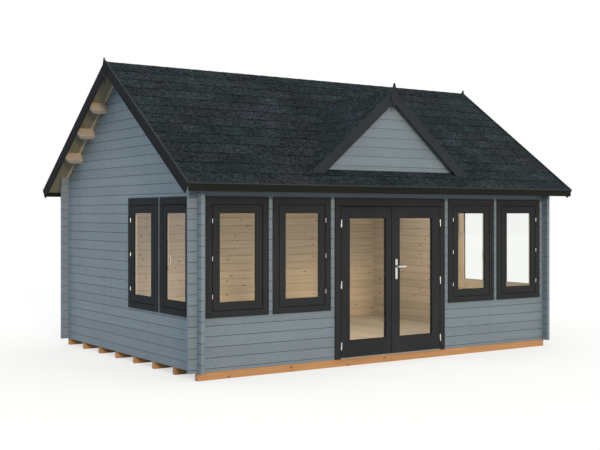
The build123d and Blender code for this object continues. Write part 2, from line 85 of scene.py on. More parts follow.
# fits between pieces, in metres
WALL_MIDDLE = 0.028     # from the floor's edge to the middle of the walls
STAIN_SHADE_START = 0.074     # from the floor's edge to where the soffit's stain and painted shade start
STAIN_SHADE_SOFT = 0.012      # half of the width over which the stain and painted shade fade
BOARD_IN = 0.0003       # half of the joint between two roof boards
VERGE_IN = 0.0015       # felt kept back from the gable edges
EAVE_IN = 0.006         # felt kept back from the eaves
PEAK_IN = 0.002         # underlay and caps kept back from the ridge and its ends
TOP_IN = 0.006          # last course kept back from the ridge
DORMER_TOP_IN = 0.004   # the same on the dormer, and the height of its caps
VALLEY_IN = 0.01        # dormer felt carried into the main roof
VALLEY_REACH = 0.05     # dormer felt carried back before it is cut to the main roof
CAP_REACH = 0.04        # dormer caps carried back, and their lap
NARROW = 0.02           # felt tabs and courses narrower than this are left out
TAB_DROP = 0.0008       # how far a tab hangs higher or lower than its course
EDGE_RIPPLE = 0.0004    # unevenness along a tab's lower edge
EDGE_STEPS = 6
STRIP_IN = 0.001        # eave strips kept back from the fascia's ends
STRIP_LEG = 0.014       # eave strips carried back under the felt
NOTCH_SIDE = 0.051      # from the threshold's end to the side of the floor's door notch
NOTCH_BACK = 0.006      # from the jambs to the back of the floor's door notch
THIN_PLANK = 0.008      # planks narrower than this are left out

# felt tags: the course, the tab's tone, and one on its cut edges, which are darkened, partly as
# black bitumen and partly as painted shade under each lip; numbers keep courses apart
FELT_TAGS = ("row", "tone", "shaded_rim")
BACK_ROWS = 20
DORMER_ROWS = 40
CAP_ROW = 90.0
PLANK_NUMBERS = 300

# a ridge cap: lift of its near and far end, its crease and how far the crease is pressed down
CAP_LIFTS = (0.0045, 0.0005)
CAP_CREASE = 0.02
CAP_PRESS = 0.004

# turned outlines: share of the radius, and height
HINGE_DOME = ((0.0, 0.0), (1.0, 0.0), (1.0, 0.0014), (0.8, 0.0032), (0.4, 0.0042), (0.0, 0.0045))
SCREW_HEAD = ((0.0, 0.0), (1.0, 0.0), (1.0, 0.0006), (0.8, 0.0013), (0.5, 0.0016),
              (0.42, 0.0015), (0.42, 0.0006), (0.0, 0.0006))
HINGE_STEPS = 20
SCREW_STEPS = 18
COLLAR_STEPS = 28
ROUND_ANGLE = math.radians(40)

# the lever's near-black collar, partly a black rose and partly painted shade of the lever on the
# plate: heights of its foot, side, shoulder and top, and its chamfer
COLLAR_FOOT = 0.0003
COLLAR_SIDE = 0.004
COLLAR_SHOULDER = 0.0062
COLLAR_TOP = 0.0068
COLLAR_CHAMFER = 0.0015

# arcs of the key cylinder: first and last angle in degrees, and count of points
HEAD_ARC = (-54, 234, 17)
STEM_ARC = (180, 360, 7)
PLUG_ARC = (-83, 83, 11)

# edges of CAD pieces
JOINED = 0.00001
FLAT_ANGLE = math.radians(0.5)
SHARP_ANGLE = math.radians(35)

# gloss of bare or wall-painted wood, and of felt
WOOD_GLOSS = 0.2
FELT_GLOSS = 0.05

# wood: shares of rings, fibre and knots in its colour, tones of single boards, end grain,
# rings of the soffit's stain and painted shade, and the dark core of a log joint, partly painted
# shade
RING_SHARE = 0.42
FIBRE_SHARE = 0.25
KNOT_SHARE = 0.7
OWN_TONES = (0.0, 1.0, 0.93, 1.06)
END_FACING = (0.75, 0.95)
END_RINGS = 60.0
END_TONES = (0.72, 0.98)
PURLIN_END_TONES = (0.9, 1.1)
STAIN_SHADE_RINGS = 0.7
JOINT_CORE = 0.3

# metals: roughness, and how fine the brushing is along each axis
SATIN = (0.3, (900.0, 900.0, 40.0))
# the collars' dark metal is partly a black rose, partly painted shade of the lever
COLLAR_SHADE_METAL = (0.34, (900.0, 900.0, 900.0))
THRESHOLD_METAL = (0.46, (20.0, 900.0, 900.0))

# smears on glass: their tone and roughness
GLASS_SMEAR = (0.3, 0.7, 0.985, 1.0)
GLASS_ROUGH = (0.4, 0.8, 0.0, 0.012)

# a coat's tones and roughness are an effect's (low, high, value at low, value at high),
# its height gives the weight of each effect in a relief that is depth metres high
Coat = namedtuple("Coat", "tones rough height depth")
LOG_COAT = Coat(
    tones={"Own": (0.0, 1.0, 0.965, 1.035), "Patch": (0.3, 0.7, 0.965, 1.035),
           "Streak": (0.4, 0.75, 1.01, 0.97), "Rings": (0.0, 1.0, 1.02, 0.975),
           "Fibre": (0.35, 0.7, 1.025, 0.955), "Knot": (0.0, 1.0, 1.0, 0.92)},
    rough=("Fibre", 0.3, 0.7, 0.5, 0.62), height={"Rings": 0.25, "Fibre": 0.4}, depth=0.0006)
PAINT_COAT = Coat(
    tones={"Patch": (0.3, 0.7, 0.93, 1.07), "Fibre": (0.35, 0.7, 1.06, 0.9),
           "Rings": (0.0, 1.0, 1.03, 0.97), "Streak": (0.4, 0.75, 1.0, 1.08)},
    rough=("Patch", 0.3, 0.7, 0.6, 0.72), height={"Fibre": 0.5, "Speck": 0.3}, depth=0.0004)
SAWN_COAT = Coat(
    tones={"Patch": (0.3, 0.7, 0.93, 1.06)},
    rough=("Fibre", 0.3, 0.7, 0.52, 0.68), height={"Rings": 0.35, "Fibre": 0.6}, depth=0.0007)
# the darkened cut edges are partly black bitumen, partly painted shade under each lip
FELT_COAT = Coat(
    tones={"Patch": (0.3, 0.7, 0.72, 1.26), "tone": (0.0, 1.0, 0.92, 1.08),
           "Coarse": (0.33, 0.67, 0.6, 1.52), "Grit": (0.37, 0.65, 0.12, 2.2),
           "shaded_rim": (0.0, 1.0, 1.0, 0.16)},
    rough=("Grit", 0.3, 0.7, 0.82, 0.96), height={"Grit": 1.0, "Coarse": 0.8}, depth=0.0012)
STEEL_COAT = Coat(
    tones={"Brush": (0.3, 0.7, 0.92, 1.05), "Smear": (0.3, 0.7, 0.94, 1.04)},
    rough=("Brush", 0.3, 0.7, -0.06, 0.1), height={"Brush": 1.0}, depth=0.00008)


def joint_place(name):
    for joint in frame["record"]["behaviour"]["joints"]:
        if joint["name"] == name:
            return Vector(joint["pos_m"])
    raise RuntimeError("no joint " + name)


# node helpers
FLOAT = "NodeSocketFloat"
VECTOR = "NodeSocketVector"


def put(tree, socket, value):
    if isinstance(value, bpy.types.NodeSocket):
        tree.links.new(value, socket)
    else:
        socket.default_value = value


def sums(tree, operation, a, b=0.0):
    made = tree.nodes.new("ShaderNodeMath")
    made.operation = operation
    put(tree, made.inputs[0], a)
    put(tree, made.inputs[1], b)
    return made.outputs[0]


def plus(tree, a, b):
    return sums(tree, "ADD", a, b)


def times(tree, a, b):
    return sums(tree, "MULTIPLY", a, b)


def size_of(tree, a):
    return sums(tree, "ABSOLUTE", a)


def fade(tree, value, low, high, to_low=0.0, to_high=1.0):
    made = tree.nodes.new("ShaderNodeMapRange")
    made.interpolation_type = "SMOOTHSTEP"
    for place, item in enumerate((value, low, high, to_low, to_high)):
        put(tree, made.inputs[place], item)
    return made.outputs[0]


def blend(tree, share, a, b, kind="MIX"):
    made = tree.nodes.new("ShaderNodeMix")
    made.data_type = "RGBA"
    made.blend_type = kind
    put(tree, made.inputs[0], share)
    put(tree, made.inputs[6], a)
    put(tree, made.inputs[7], b)
    return made.outputs[2]


def lean(tree, share, a, b):
    made = tree.nodes.new("ShaderNodeMix")
    put(tree, made.inputs[0], share)
    put(tree, made.inputs[2], a)
    put(tree, made.inputs[3], b)
    return made.outputs[0]


def scaled(tree, x, y, z, factors):
    made = tree.nodes.new("ShaderNodeCombineXYZ")
    for socket, part, factor in zip(made.inputs, (x, y, z), factors):
        put(tree, socket, times(tree, part, factor))
    return made.outputs[0]


def axes(tree, source):
    made = tree.nodes.new("ShaderNodeSeparateXYZ")
    put(tree, made.inputs[0], source)
    return made.outputs[0], made.outputs[1], made.outputs[2]


def cloud(tree, source, scale, detail=3.0, rough=0.5, bend=0.0):
    made = tree.nodes.new("ShaderNodeTexNoise")
    put(tree, made.inputs["Vector"], source)
    for label, value in (("Scale", scale), ("Detail", detail), ("Roughness", rough),
                         ("Distortion", bend)):
        made.inputs[label].default_value = value
    return made.outputs[0]


def dice(tree, value):
    made = tree.nodes.new("ShaderNodeTexWhiteNoise")
    made.noise_dimensions = "1D"
    put(tree, made.inputs["W"], value)
    return made.outputs["Value"]


def place_of(tree):
    return tree.nodes.new("ShaderNodeTexCoord").outputs["Object"]


def facing(tree):
    return tree.nodes.new("ShaderNodeTexCoord").outputs["Normal"]


def tag(tree, name):
    made = tree.nodes.new("ShaderNodeAttribute")
    made.attribute_name = name
    return made.outputs["Fac"]


def seen_plainly(tree):
    """One on rays from the camera, off a mirror or through clear glass."""
    path = tree.nodes.new("ShaderNodeLightPath").outputs
    seen = sums(tree, "MAXIMUM", path["Is Camera Ray"], path["Is Glossy Ray"])
    return sums(tree, "MAXIMUM", seen, path["Is Transmission Ray"])


def group(name, takes, gives, build):
    tree = bpy.data.node_groups.new(name, "ShaderNodeTree")
    for label, kind, start in takes:
        socket = tree.interface.new_socket(name=label, in_out="INPUT", socket_type=kind)
        socket.default_value = start
    for label in gives:
        tree.interface.new_socket(name=label, in_out="OUTPUT", socket_type=FLOAT)
    inside = tree.nodes.new("NodeGroupInput")
    outside = tree.nodes.new("NodeGroupOutput")
    for label, socket in build(tree, inside.outputs).items():
        tree.links.new(socket, outside.inputs[label])


def use(tree, name, **values):
    made = tree.nodes.new("ShaderNodeGroup")
    made.node_tree = bpy.data.node_groups[name]
    for label, value in values.items():
        put(tree, made.inputs[label], value)
    return made.outputs


def material(name):
    made = bpy.data.materials.new(name)
    made.use_nodes = True
    return made, made.node_tree, made.node_tree.nodes["Principled BSDF"]


# shared effects
BOARD_SHIFT = (53.0, 7.0)
KNOT_CELLS = (3.6, 7.0, 1.0)
KNOTS_KEPT = (0.66, 0.68)
KNOT_GROWTH = 0.09
KNOT_LEAST = 0.01
KNOT_SWELL = 0.2
RING_CELLS = (0.5, 9.0, 1.0)
RING_COUNT = 46.0
FIBRE_CELLS = (9.0, 420.0, 1.0)
PATCH_SCALE = 1.1
STREAK_CELLS = (9.0, 9.0, 0.8)
SPECK_SCALE = 210.0


def build_timber(tree, takes):
    """Growth rings, fibre and knots of one sawn board, told apart by its board number."""
    own = dice(tree, takes["Board"])
    along, across = [plus(tree, takes[label], times(tree, own, shift))
                     for label, shift in zip(("Along", "Across"), BOARD_SHIFT)]
    cells = tree.nodes.new("ShaderNodeTexVoronoi")
    cells.voronoi_dimensions = "2D"
    put(tree, cells.inputs["Vector"], scaled(tree, along, across, 0.0, KNOT_CELLS))
    cells.inputs["Scale"].default_value = 1.0
    spread = cells.outputs["Distance"]
    chosen = axes(tree, cells.outputs["Color"])[0]
    kept = fade(tree, chosen, *KNOTS_KEPT)
    size = plus(tree, times(tree, chosen, KNOT_GROWTH), KNOT_LEAST)
    knot = times(tree, fade(tree, sums(tree, "DIVIDE", spread, size), 1.2, 0.6), kept)
    swell = times(tree, fade(tree, spread, 0.4, 0.0), kept)
    waves = cloud(tree, scaled(tree, along, across, own, RING_CELLS), 1.0, 3.0, 0.45, 0.25)
    waves = plus(tree, waves, times(tree, swell, KNOT_SWELL))
    rings = sums(tree, "SINE", times(tree, waves, RING_COUNT))
    rings = plus(tree, times(tree, rings, 0.5), 0.5)
    fibre = cloud(tree, scaled(tree, along, across, own, FIBRE_CELLS), 1.0, 2.0, 0.6)
    return {"Rings": rings, "Fibre": fibre, "Knot": knot, "Own": own}


def build_courses(tree, takes):
    """Numbers the boards laid one beside the next and gives the distance to the nearest joint."""
    run = sums(tree, "SUBTRACT", takes["Across"], takes["First"])
    steps = sums(tree, "DIVIDE", run, takes["Width"])
    off = size_of(tree, sums(tree, "SUBTRACT", steps, sums(tree, "ROUND", steps)))
    return {"Board": sums(tree, "FLOOR", steps), "Joint": times(tree, off, takes["Width"])}


def build_weather(tree, takes):
    """Broad soft patches, fine specks and downward streaks on a surface left outdoors."""
    place = takes["Place"]
    return {
        "Patch": cloud(tree, place, PATCH_SCALE, 3.0, 0.55),
        "Streak": cloud(tree, scaled(tree, *axes(tree, place), STREAK_CELLS), 1.0, 3.0, 0.6),
        "Speck": cloud(tree, place, SPECK_SCALE, 2.0, 0.6),
    }


def make_effects():
    group("Timber", [(label, FLOAT, 0.0) for label in ("Along", "Across", "Board")],
          ("Rings", "Fibre", "Knot", "Own"), build_timber)
    group("Board Courses",
          [("Across", FLOAT, 0.0), ("First", FLOAT, 0.0), ("Width", FLOAT, 0.118)],
          ("Board", "Joint"), build_courses)
    group("Weather", [("Place", VECTOR, (0.0, 0.0, 0.0))],
          ("Patch", "Streak", "Speck"), build_weather)


# finishes
def rgba(colour):
    return tuple(colour) + (1.0,)


def pick(sources, label):
    """The effect of that name, from the first source that has it."""
    return next(source[label] for source in sources if label in source)


def tone_up(tree, colour, amount):
    """Multiplies a colour by a grey amount that changes over the surface."""
    grey = tree.nodes.new("ShaderNodeCombineColor")
    for socket in grey.inputs:
        put(tree, socket, amount)
    return blend(tree, 1.0, colour, grey.outputs[0], "MULTIPLY")


def darken(tree, colour, mask, amount):
    """Multiplies a colour by the amount where the mask is one."""
    return tone_up(tree, colour, fade(tree, mask, 0.0, 1.0, 1.0, amount))


def toned(tree, colour, coat, *sources):
    """Lightens and darkens a colour by each effect that the coat names."""
    for label, span in coat.tones.items():
        colour = tone_up(tree, colour, fade(tree, pick(sources, label), *span))
    return colour


def settle(tree, shader, colour, coat, *sources, cut=None, gloss=None):
    """Joins a finished colour to its shader with the coat's roughness and relief."""
    put(tree, shader.inputs["Base Color"], colour)
    label, *span = coat.rough
    put(tree, shader.inputs["Roughness"], fade(tree, pick(sources, label), *span))
    height = cut
    for label, weight in coat.height.items():
        part = times(tree, pick(sources, label), weight)
        height = part if height is None else plus(tree, height, part)
    bump = tree.nodes.new("ShaderNodeBump")
    bump.inputs["Distance"].default_value = coat.depth
    put(tree, bump.inputs["Height"], height)
    put(tree, shader.inputs["Normal"], bump.outputs[0])
    if gloss is not None:
        shader.inputs["Specular IOR Level"].default_value = gloss


def room_mask(tree, x, y, room, soft=0.001):
    """One inside the room, nought outside it."""
    return times(tree, *[fade(tree, size_of(tree, part), edge + soft, edge - soft)
                         for part, edge in zip((x, y), room)])


def wood_colour(tree, timber, look, light, dark):
    """Bare wood with darker rings and fibre, brown knots and a tone of its own for each board."""
    colour = blend(tree, times(tree, timber["Rings"], RING_SHARE), rgba(light), rgba(dark))
    colour = blend(tree, times(tree, timber["Fibre"], FIBRE_SHARE), colour, rgba(dark))
    colour = tone_up(tree, colour, fade(tree, timber["Own"], *OWN_TONES))
    return blend(tree, times(tree, timber["Knot"], KNOT_SHARE), colour, rgba(look.knot_brown))


def log_finish(name, look, long_way, first, joint_shade, room=None):
    """Painted logs; inside the room the same logs are bare spruce."""
    made, tree, shader = material(name)
    place = place_of(tree)
    x, y, z = axes(tree, place)
    courses = use(tree, "Board Courses", Across=z, First=first, Width=look.log_height)
    timber = use(tree, "Timber", Along=x if long_way else y, Across=z, Board=courses["Board"])
    weather = use(tree, "Weather", Place=place)
    # the log joints are darkened: partly the dark gap between logs, partly painted shade in the
    # groove
    joint = fade(tree, courses["Joint"], look.joint_width, look.joint_width * JOINT_CORE)
    colour = toned(tree, rgba(look.wall_paint), LOG_COAT, timber, weather)
    colour = darken(tree, colour, joint, joint_shade)
    cut = None
    if room:
        inside = room_mask(tree, x, y, room)
        spruce = wood_colour(tree, timber, look, look.spruce_light, look.spruce_dark)
        spruce = darken(tree, spruce, joint, look.inner_joint_shade)
        colour = blend(tree, inside, colour, spruce)
        cut = times(tree, times(tree, joint, inside), -look.inner_joint_cut)
    settle(tree, shader, colour, LOG_COAT, timber, cut=cut, gloss=WOOD_GLOSS)
    return made


def upright(tree, x, y, z):
    return z, plus(tree, x, y)


def level(tree, x, y, z):
    return x, plus(tree, y, z)


def framed(low, high):
    """Grain of a frame: upright in the stiles, level in the rails under low and over high."""
    def grain(tree, x, y, z):
        side = plus(tree, x, y)
        rail = sums(tree, "MAXIMUM", sums(tree, "LESS_THAN", z, low),
                    sums(tree, "GREATER_THAN", z, high))
        return lean(tree, rail, z, side), lean(tree, rail, side, z)
    return grain


def sloping(axis, pitch):
    """Grain of the boards that run down both sides of a gable."""
    cosine, sine = math.cos(pitch), math.sin(pitch)

    def grain(tree, x, y, z):
        run = size_of(tree, (x, y)[axis])
        along = sums(tree, "SUBTRACT", times(tree, run, cosine), times(tree, z, sine))
        return along, plus(tree, times(tree, run, sine), times(tree, z, cosine))
    return grain


def dark_finish(name, colour, look, grain, room=None):
    """Anthracite paint on planed wood; inside the room the wood is bare spruce."""
    made, tree, shader = material(name)
    place = place_of(tree)
    x, y, z = axes(tree, place)
    along, across = grain(tree, x, y, z)
    timber = use(tree, "Timber", Along=along, Across=across, Board=3.0)
    weather = use(tree, "Weather", Place=place)
    paint = toned(tree, rgba(colour), PAINT_COAT, timber, weather)
    if room:
        spruce = wood_colour(tree, timber, look, look.spruce_light, look.spruce_dark)
        paint = blend(tree, room_mask(tree, x, y, room), paint, spruce)
    settle(tree, shader, paint, PAINT_COAT, timber, weather, gloss=look.dark_gloss)
    return made


def sawn_finish(name, look, light, dark, along, across, board=1.0, ends=END_TONES,
                outdoors=None):
    """Bare sawn wood with end grain; board is a number or a tag that tells boards apart, and
    outdoors gives a darker colour, a stain with painted shade, and the room that it starts outside
    of."""
    made, tree, shader = material(name)
    place = place_of(tree)
    parts = axes(tree, place)
    board = tag(tree, board) if isinstance(board, str) else board
    timber = use(tree, "Timber", Along=parts[along], Across=parts[across], Board=board)
    weather = use(tree, "Weather", Place=place)
    colour = wood_colour(tree, timber, look, light, dark)
    # outside the room: a darker stain with painted shade, for the soffit under the eaves
    if outdoors:
        stain, room = outdoors
        stained_and_shaded = wood_colour(tree, timber, look, stain, [STAIN_SHADE_RINGS * part for part in stain])
        inside = room_mask(tree, parts[0], parts[1], room, STAIN_SHADE_SOFT)
        colour = blend(tree, inside, stained_and_shaded, colour)
    colour = toned(tree, colour, SAWN_COAT, weather)
    end = fade(tree, size_of(tree, axes(tree, facing(tree))[along]), *END_FACING)
    rings = sums(tree, "SINE", times(tree, cloud(tree, place, 5.0, 1.0, 0.4), END_RINGS))
    sawn = tone_up(tree, colour, fade(tree, rings, -1.0, 1.0, *ends))
    settle(tree, shader, blend(tree, end, colour, sawn), SAWN_COAT, timber, gloss=WOOD_GLOSS)
    return made


def felt_finish(name, look, along_axis):
    """Mineral felt: soft patches along each course, grains of slate and dark cut edges,
    partly black bitumen and partly painted shade under each lip.
    """
    made, tree, shader = material(name)
    place = place_of(tree)
    along = axes(tree, place)[along_axis]
    row = tag(tree, "row")
    hue = cloud(tree, scaled(tree, along, row, 4.0, (0.9, 3.1, 1.0)), 1.0, 2.0, 0.5)
    effects = {
        "Patch": cloud(tree, scaled(tree, along, row, 9.0, (1.7, 5.3, 1.0)), 1.0, 3.0, 0.55),
        "Grit": cloud(tree, place, 75.0, 3.0, 0.75),
        "Coarse": cloud(tree, place, 20.0, 3.0, 0.7),
        "tone": tag(tree, "tone"),
        "shaded_rim": tag(tree, "shaded_rim"),
    }
    colour = blend(tree, fade(tree, hue, 0.36, 0.64), rgba(look.felt_green), rgba(look.felt_grey))
    colour = toned(tree, colour, FELT_COAT, effects)
    settle(tree, shader, colour, FELT_COAT, effects, gloss=FELT_GLOSS)
    return made


def steel_finish(name, colour, rough, stripe):
    """Brushed metal with soft smears; stripe gives how fine the brushing is along each axis."""
    made, tree, shader = material(name)
    place = place_of(tree)
    effects = {
        "Brush": cloud(tree, scaled(tree, *axes(tree, place), stripe), 1.0, 3.0, 0.6),
        "Smear": cloud(tree, place, 22.0, 2.0, 0.5),
    }
    label, low, high, smoother, rougher = STEEL_COAT.rough
    coat = STEEL_COAT._replace(rough=(label, low, high, rough + smoother, rough + rougher))
    settle(tree, shader, toned(tree, rgba(colour), coat, effects), coat, effects)
    shader.inputs["Metallic"].default_value = 1.0
    return made


def glass_finish(name, look):
    """Clear glass with a faint smear, which lets light and shadow rays straight through."""
    made, tree, shader = material(name)
    smear = cloud(tree, place_of(tree), 3.0, 3.0, 0.5)
    put(tree, shader.inputs["Base Color"],
        tone_up(tree, rgba(look.glass_tint), fade(tree, smear, *GLASS_SMEAR)))
    put(tree, shader.inputs["Roughness"], fade(tree, smear, *GLASS_ROUGH))
    shader.inputs["IOR"].default_value = look.glass_bend
    shader.inputs["Transmission Weight"].default_value = 1.0
    clear = tree.nodes.new("ShaderNodeBsdfTransparent")
    clear.inputs["Color"].default_value = rgba(look.glass_shadow)
    path = tree.nodes.new("ShaderNodeLightPath").outputs
    mixer = tree.nodes.new("ShaderNodeMixShader")
    put(tree, mixer.inputs[0], sums(tree, "MAXIMUM", path["Is Shadow Ray"], path["Is Diffuse Ray"]))
    put(tree, mixer.inputs[1], shader.outputs[0])
    put(tree, mixer.inputs[2], clear.outputs[0])
    put(tree, tree.nodes["Material Output"].inputs["Surface"], mixer.outputs[0])
    return made


# CAD pieces
def dress(node, *finishes):
    slots = frame["nodes"][node].data.materials
    slots.clear()
    for finish in finishes:
        slots.append(finish)


def shade(node, rounded=False):
    """Shades a CAD piece by its true faces: flat, or smooth between sharp edges."""
    mesh = frame["nodes"][node].data
    given = mesh.attributes.get("custom_normal")
    if given:
        mesh.attributes.remove(given)
    mesh.polygons.foreach_set("use_smooth", [rounded] * len(mesh.polygons))
    mesh.update()


def soften(node, width, steps, edge_slot=-1):
    """Rounds the sharp edges of a CAD piece."""
    thing = frame["nodes"][node]
    weld = thing.modifiers.new("joined corners", "WELD")
    weld.merge_threshold = JOINED
    flat = thing.modifiers.new("whole faces", "DECIMATE")
    flat.decimate_type = "DISSOLVE"
    flat.angle_limit = FLAT_ANGLE
    bevel = thing.modifiers.new("eased edges", "BEVEL")
    bevel.width = width
    bevel.segments = steps
    bevel.limit_method = "ANGLE"
    bevel.angle_limit = SHARP_ANGLE
    bevel.material = edge_slot
    bevel.harden_normals = True


def paint_nodes(nodes, kind, paint, edge, look, grain, width, room=None):
    """Paints CAD pieces and eases their edges, which get a paint of their own: lighter, as thinner
    paint and a painted highlight, or darker, as painted shade in the door seams.
    """
    finishes = [dark_finish(kind + "_paint", paint, look, grain, room),
                dark_finish(kind + "_edge_highlight_and_shade", edge, look, grain, room)]
    for node in nodes:
        dress(node, *finishes)
        shade(node)
        soften(node, width, 2, 1)


# mesh helpers
def add_object(name, data):
    thing = bpy.data.objects.new(name, data)
    bpy.context.scene.collection.objects.link(thing)
    return thing


class Stock:
    """Closed solids gathered into one mesh, each face with its own tags."""

    def __init__(self, *tags):
        self.points = []
        self.faces = []
        self.tags = {name: [] for name in tags}

    def face(self, loop, values=()):
        self.faces.append(loop)
        for name, value in zip(self.tags, values):
            self.tags[name].append(value)

    def prism(self, low, high, values=(), shaded_rim=None):
        """A closed solid between two loops of the same count; rim gives the tags of its sides."""
        base = len(self.points)
        count = len(low)
        self.points.extend(low)
        self.points.extend(high)
        self.face([base + i for i in reversed(range(count))], values)
        self.face([base + count + i for i in range(count)], values)
        for i in range(count):
            j = (i + 1) % count
            self.face([base + i, base + j, base + count + j, base + count + i], shaded_rim or values)

    def drawn(self, shape, ends, place, values=()):
        """A flat outline drawn out from one end to the other; place(a, b, end) sets its points."""
        self.prism(*[[Vector(place(a, b, end)) for a, b in shape] for end in ends], values)

    def ring(self, sections):
        """A closed ring through sections of the same count."""
        base = len(self.points)
        count = len(sections[0])
        for section in sections:
            self.points.extend(section)
        for i in range(len(sections)):
            a = base + i * count
            b = base + (i + 1) % len(sections) * count
            for k in range(count):
                n = (k + 1) % count
                self.face([a + k, b + k, b + n, a + n])

    def turned(self, shares, radius, place, steps):
        """Turns (share of radius, height) points, the first and last on the axis."""
        rings = []
        for share_out, height in shares:
            start = len(self.points)
            count = steps if share_out else 1
            for i in range(count):
                angle = 2 * math.pi * i / steps
                out = share_out * radius
                self.points.append(place(out * math.cos(angle), out * math.sin(angle), height))
            rings.append(range(start, start + count))
        for low, high in zip(rings, rings[1:]):
            for i in range(steps):
                j = i + 1
                loop = [low[i % len(low)], low[j % len(low)],
                        high[j % len(high)], high[i % len(high)]]
                self.face(list(dict.fromkeys(loop)))

    def build(self, name, finish, body, slot, replaced=(), smooth=None):
        mesh = bpy.data.meshes.new(name)
        mesh.from_pydata([tuple(p) for p in self.points], [], self.faces)
        for label, values in self.tags.items():
            attribute = mesh.attributes.new(label, "FLOAT", "FACE")
            attribute.data.foreach_set("value", values)
        mesh.materials.append(finish)
        mesh.validate()
        shaped = bmesh.new()
        shaped.from_mesh(mesh)
        bmesh.ops.recalc_face_normals(shaped, faces=shaped.faces)
        shaped.to_mesh(mesh)
        shaped.free()
        if smooth:
            mesh.polygons.foreach_set("use_smooth", [True] * len(mesh.polygons))
            mesh.set_sharp_from_angle(angle=smooth)
        thing = add_object(name, mesh)
        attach(thing, body)
        if replaced:
            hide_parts(*replaced)


def solids_of(node):
    """Lowest and highest corners of each separate solid in a CAD node."""
    mesh = frame["nodes"][node].data
    leader = {}

    def find(key):
        while leader[key] != key:
            key = leader[key]
        return key

    for polygon in mesh.polygons:
        keys = [tuple(round(part, 5) for part in mesh.vertices[i].co) for i in polygon.vertices]
        for key in keys:
            leader.setdefault(key, key)
        for key in keys[1:]:
            leader[find(key)] = find(keys[0])
    found = {}
    for key in leader:
        found.setdefault(find(key), []).append(key)
    boxes = []
    for points in found.values():
        parts = list(zip(*points))
        boxes.append((Vector([min(part) for part in parts]), Vector([max(part) for part in parts])))
    return sorted(boxes, key=lambda box: tuple(box[0]))


def trim(loop, keep):
    """Cuts a flat loop of (u, s) points to where keep(u, s) is not negative."""
    result = []
    for i, here in enumerate(loop):
        after = loop[(i + 1) % len(loop)]
        a, b = keep(*here), keep(*after)
        if a >= 0:
            result.append(here)
        if a * b < 0:
            t = a / (a - b)
            result.append(tuple(p + (q - p) * t for p, q in zip(here, after)))
    return result


def arc(radius, first, last, count, drop=0.0):
    """Points along an arc between two angles in degrees."""
    turns = [math.radians(first + (last - first) * i / (count - 1)) for i in range(count)]
    return [(radius * math.cos(turn), radius * math.sin(turn) - drop) for turn in turns]


def oblong(ends, top, fall):
    return [(ends[0], top), (ends[0], fall), (ends[1], fall), (ends[1], top)]


def underlay(stock, roof, place, loop):
    stock.prism([place(u, s, 0.0) for u, s in loop], [place(u, s, roof.bed) for u, s in loop],
                (0.0, 0.0, 1.0))


def shingle_field(stock, roof, draw, place, ends, fall, top, rise, first_row, keep=None):
    """Lays courses of felt tabs on one roof plane; place(u, s, h) gives the point in the frame."""
    deep = roof.course + roof.lap
    low, row = fall, 0
    while low > top + NARROW:
        u = ends[0] - roof.tab * (0.5 * (row % 2) + draw.uniform(0.0, 0.3))
        while u < ends[1]:
            a = max(u + roof.slit / 2, ends[0])
            b = min(u + roof.tab - roof.slit / 2, ends[1])
            u += roof.tab
            tone = draw.random()
            drop = draw.uniform(-TAB_DROP, TAB_DROP) if row else 0.0
            wave = [draw.uniform(-EDGE_RIPPLE, EDGE_RIPPLE) for _ in range(EDGE_STEPS + 1)]
            if b - a < NARROW:
                continue
            upper = max(low - deep, top)
            loop = [(a, upper)]
            for i, ripple in enumerate(wave):
                loop.append((a + (b - a) * i / EDGE_STEPS, min(low + drop + ripple, fall)))
            loop.append((b, upper))
            if keep is not None:
                loop = trim(loop, keep)
            if len(loop) < 3:
                continue

            def height(s):
                return roof.bed + rise * (s - (low - deep)) / deep

            under = [place(p, s, height(s)) for p, s in loop]
            over = [place(p, s, height(s) + roof.felt) for p, s in loop]
            # the tab's cut edges are darkened: black bitumen and painted shade under the lip
            stock.prism(under, over, (first_row + row, tone, 0.0), (first_row + row, tone, 1.0))
        low -= roof.course
        row += 1


# settings
def number(label, words, start, low=0.0, **more):
    return bpy.props.FloatProperty(name=label, description=words, default=start, min=low, **more)


def length(label, words, start):
    return number(label, words, start, unit="LENGTH", precision=4)


def share(label, words, start):
    return number(label, words, start, max=1.0, subtype="FACTOR")


def angle_of(label, words, degrees):
    return number(label, words, math.radians(degrees), subtype="ANGLE")


def tint_of(label, words, start):
    return bpy.props.FloatVectorProperty(name=label, description=words, default=start, size=3,
                                         min=0.0, max=1.0, subtype="COLOR")


def place_at(label, words, start):
    return bpy.props.FloatVectorProperty(name=label, description=words, default=start, size=3,
                                         unit="LENGTH", subtype="TRANSLATION")


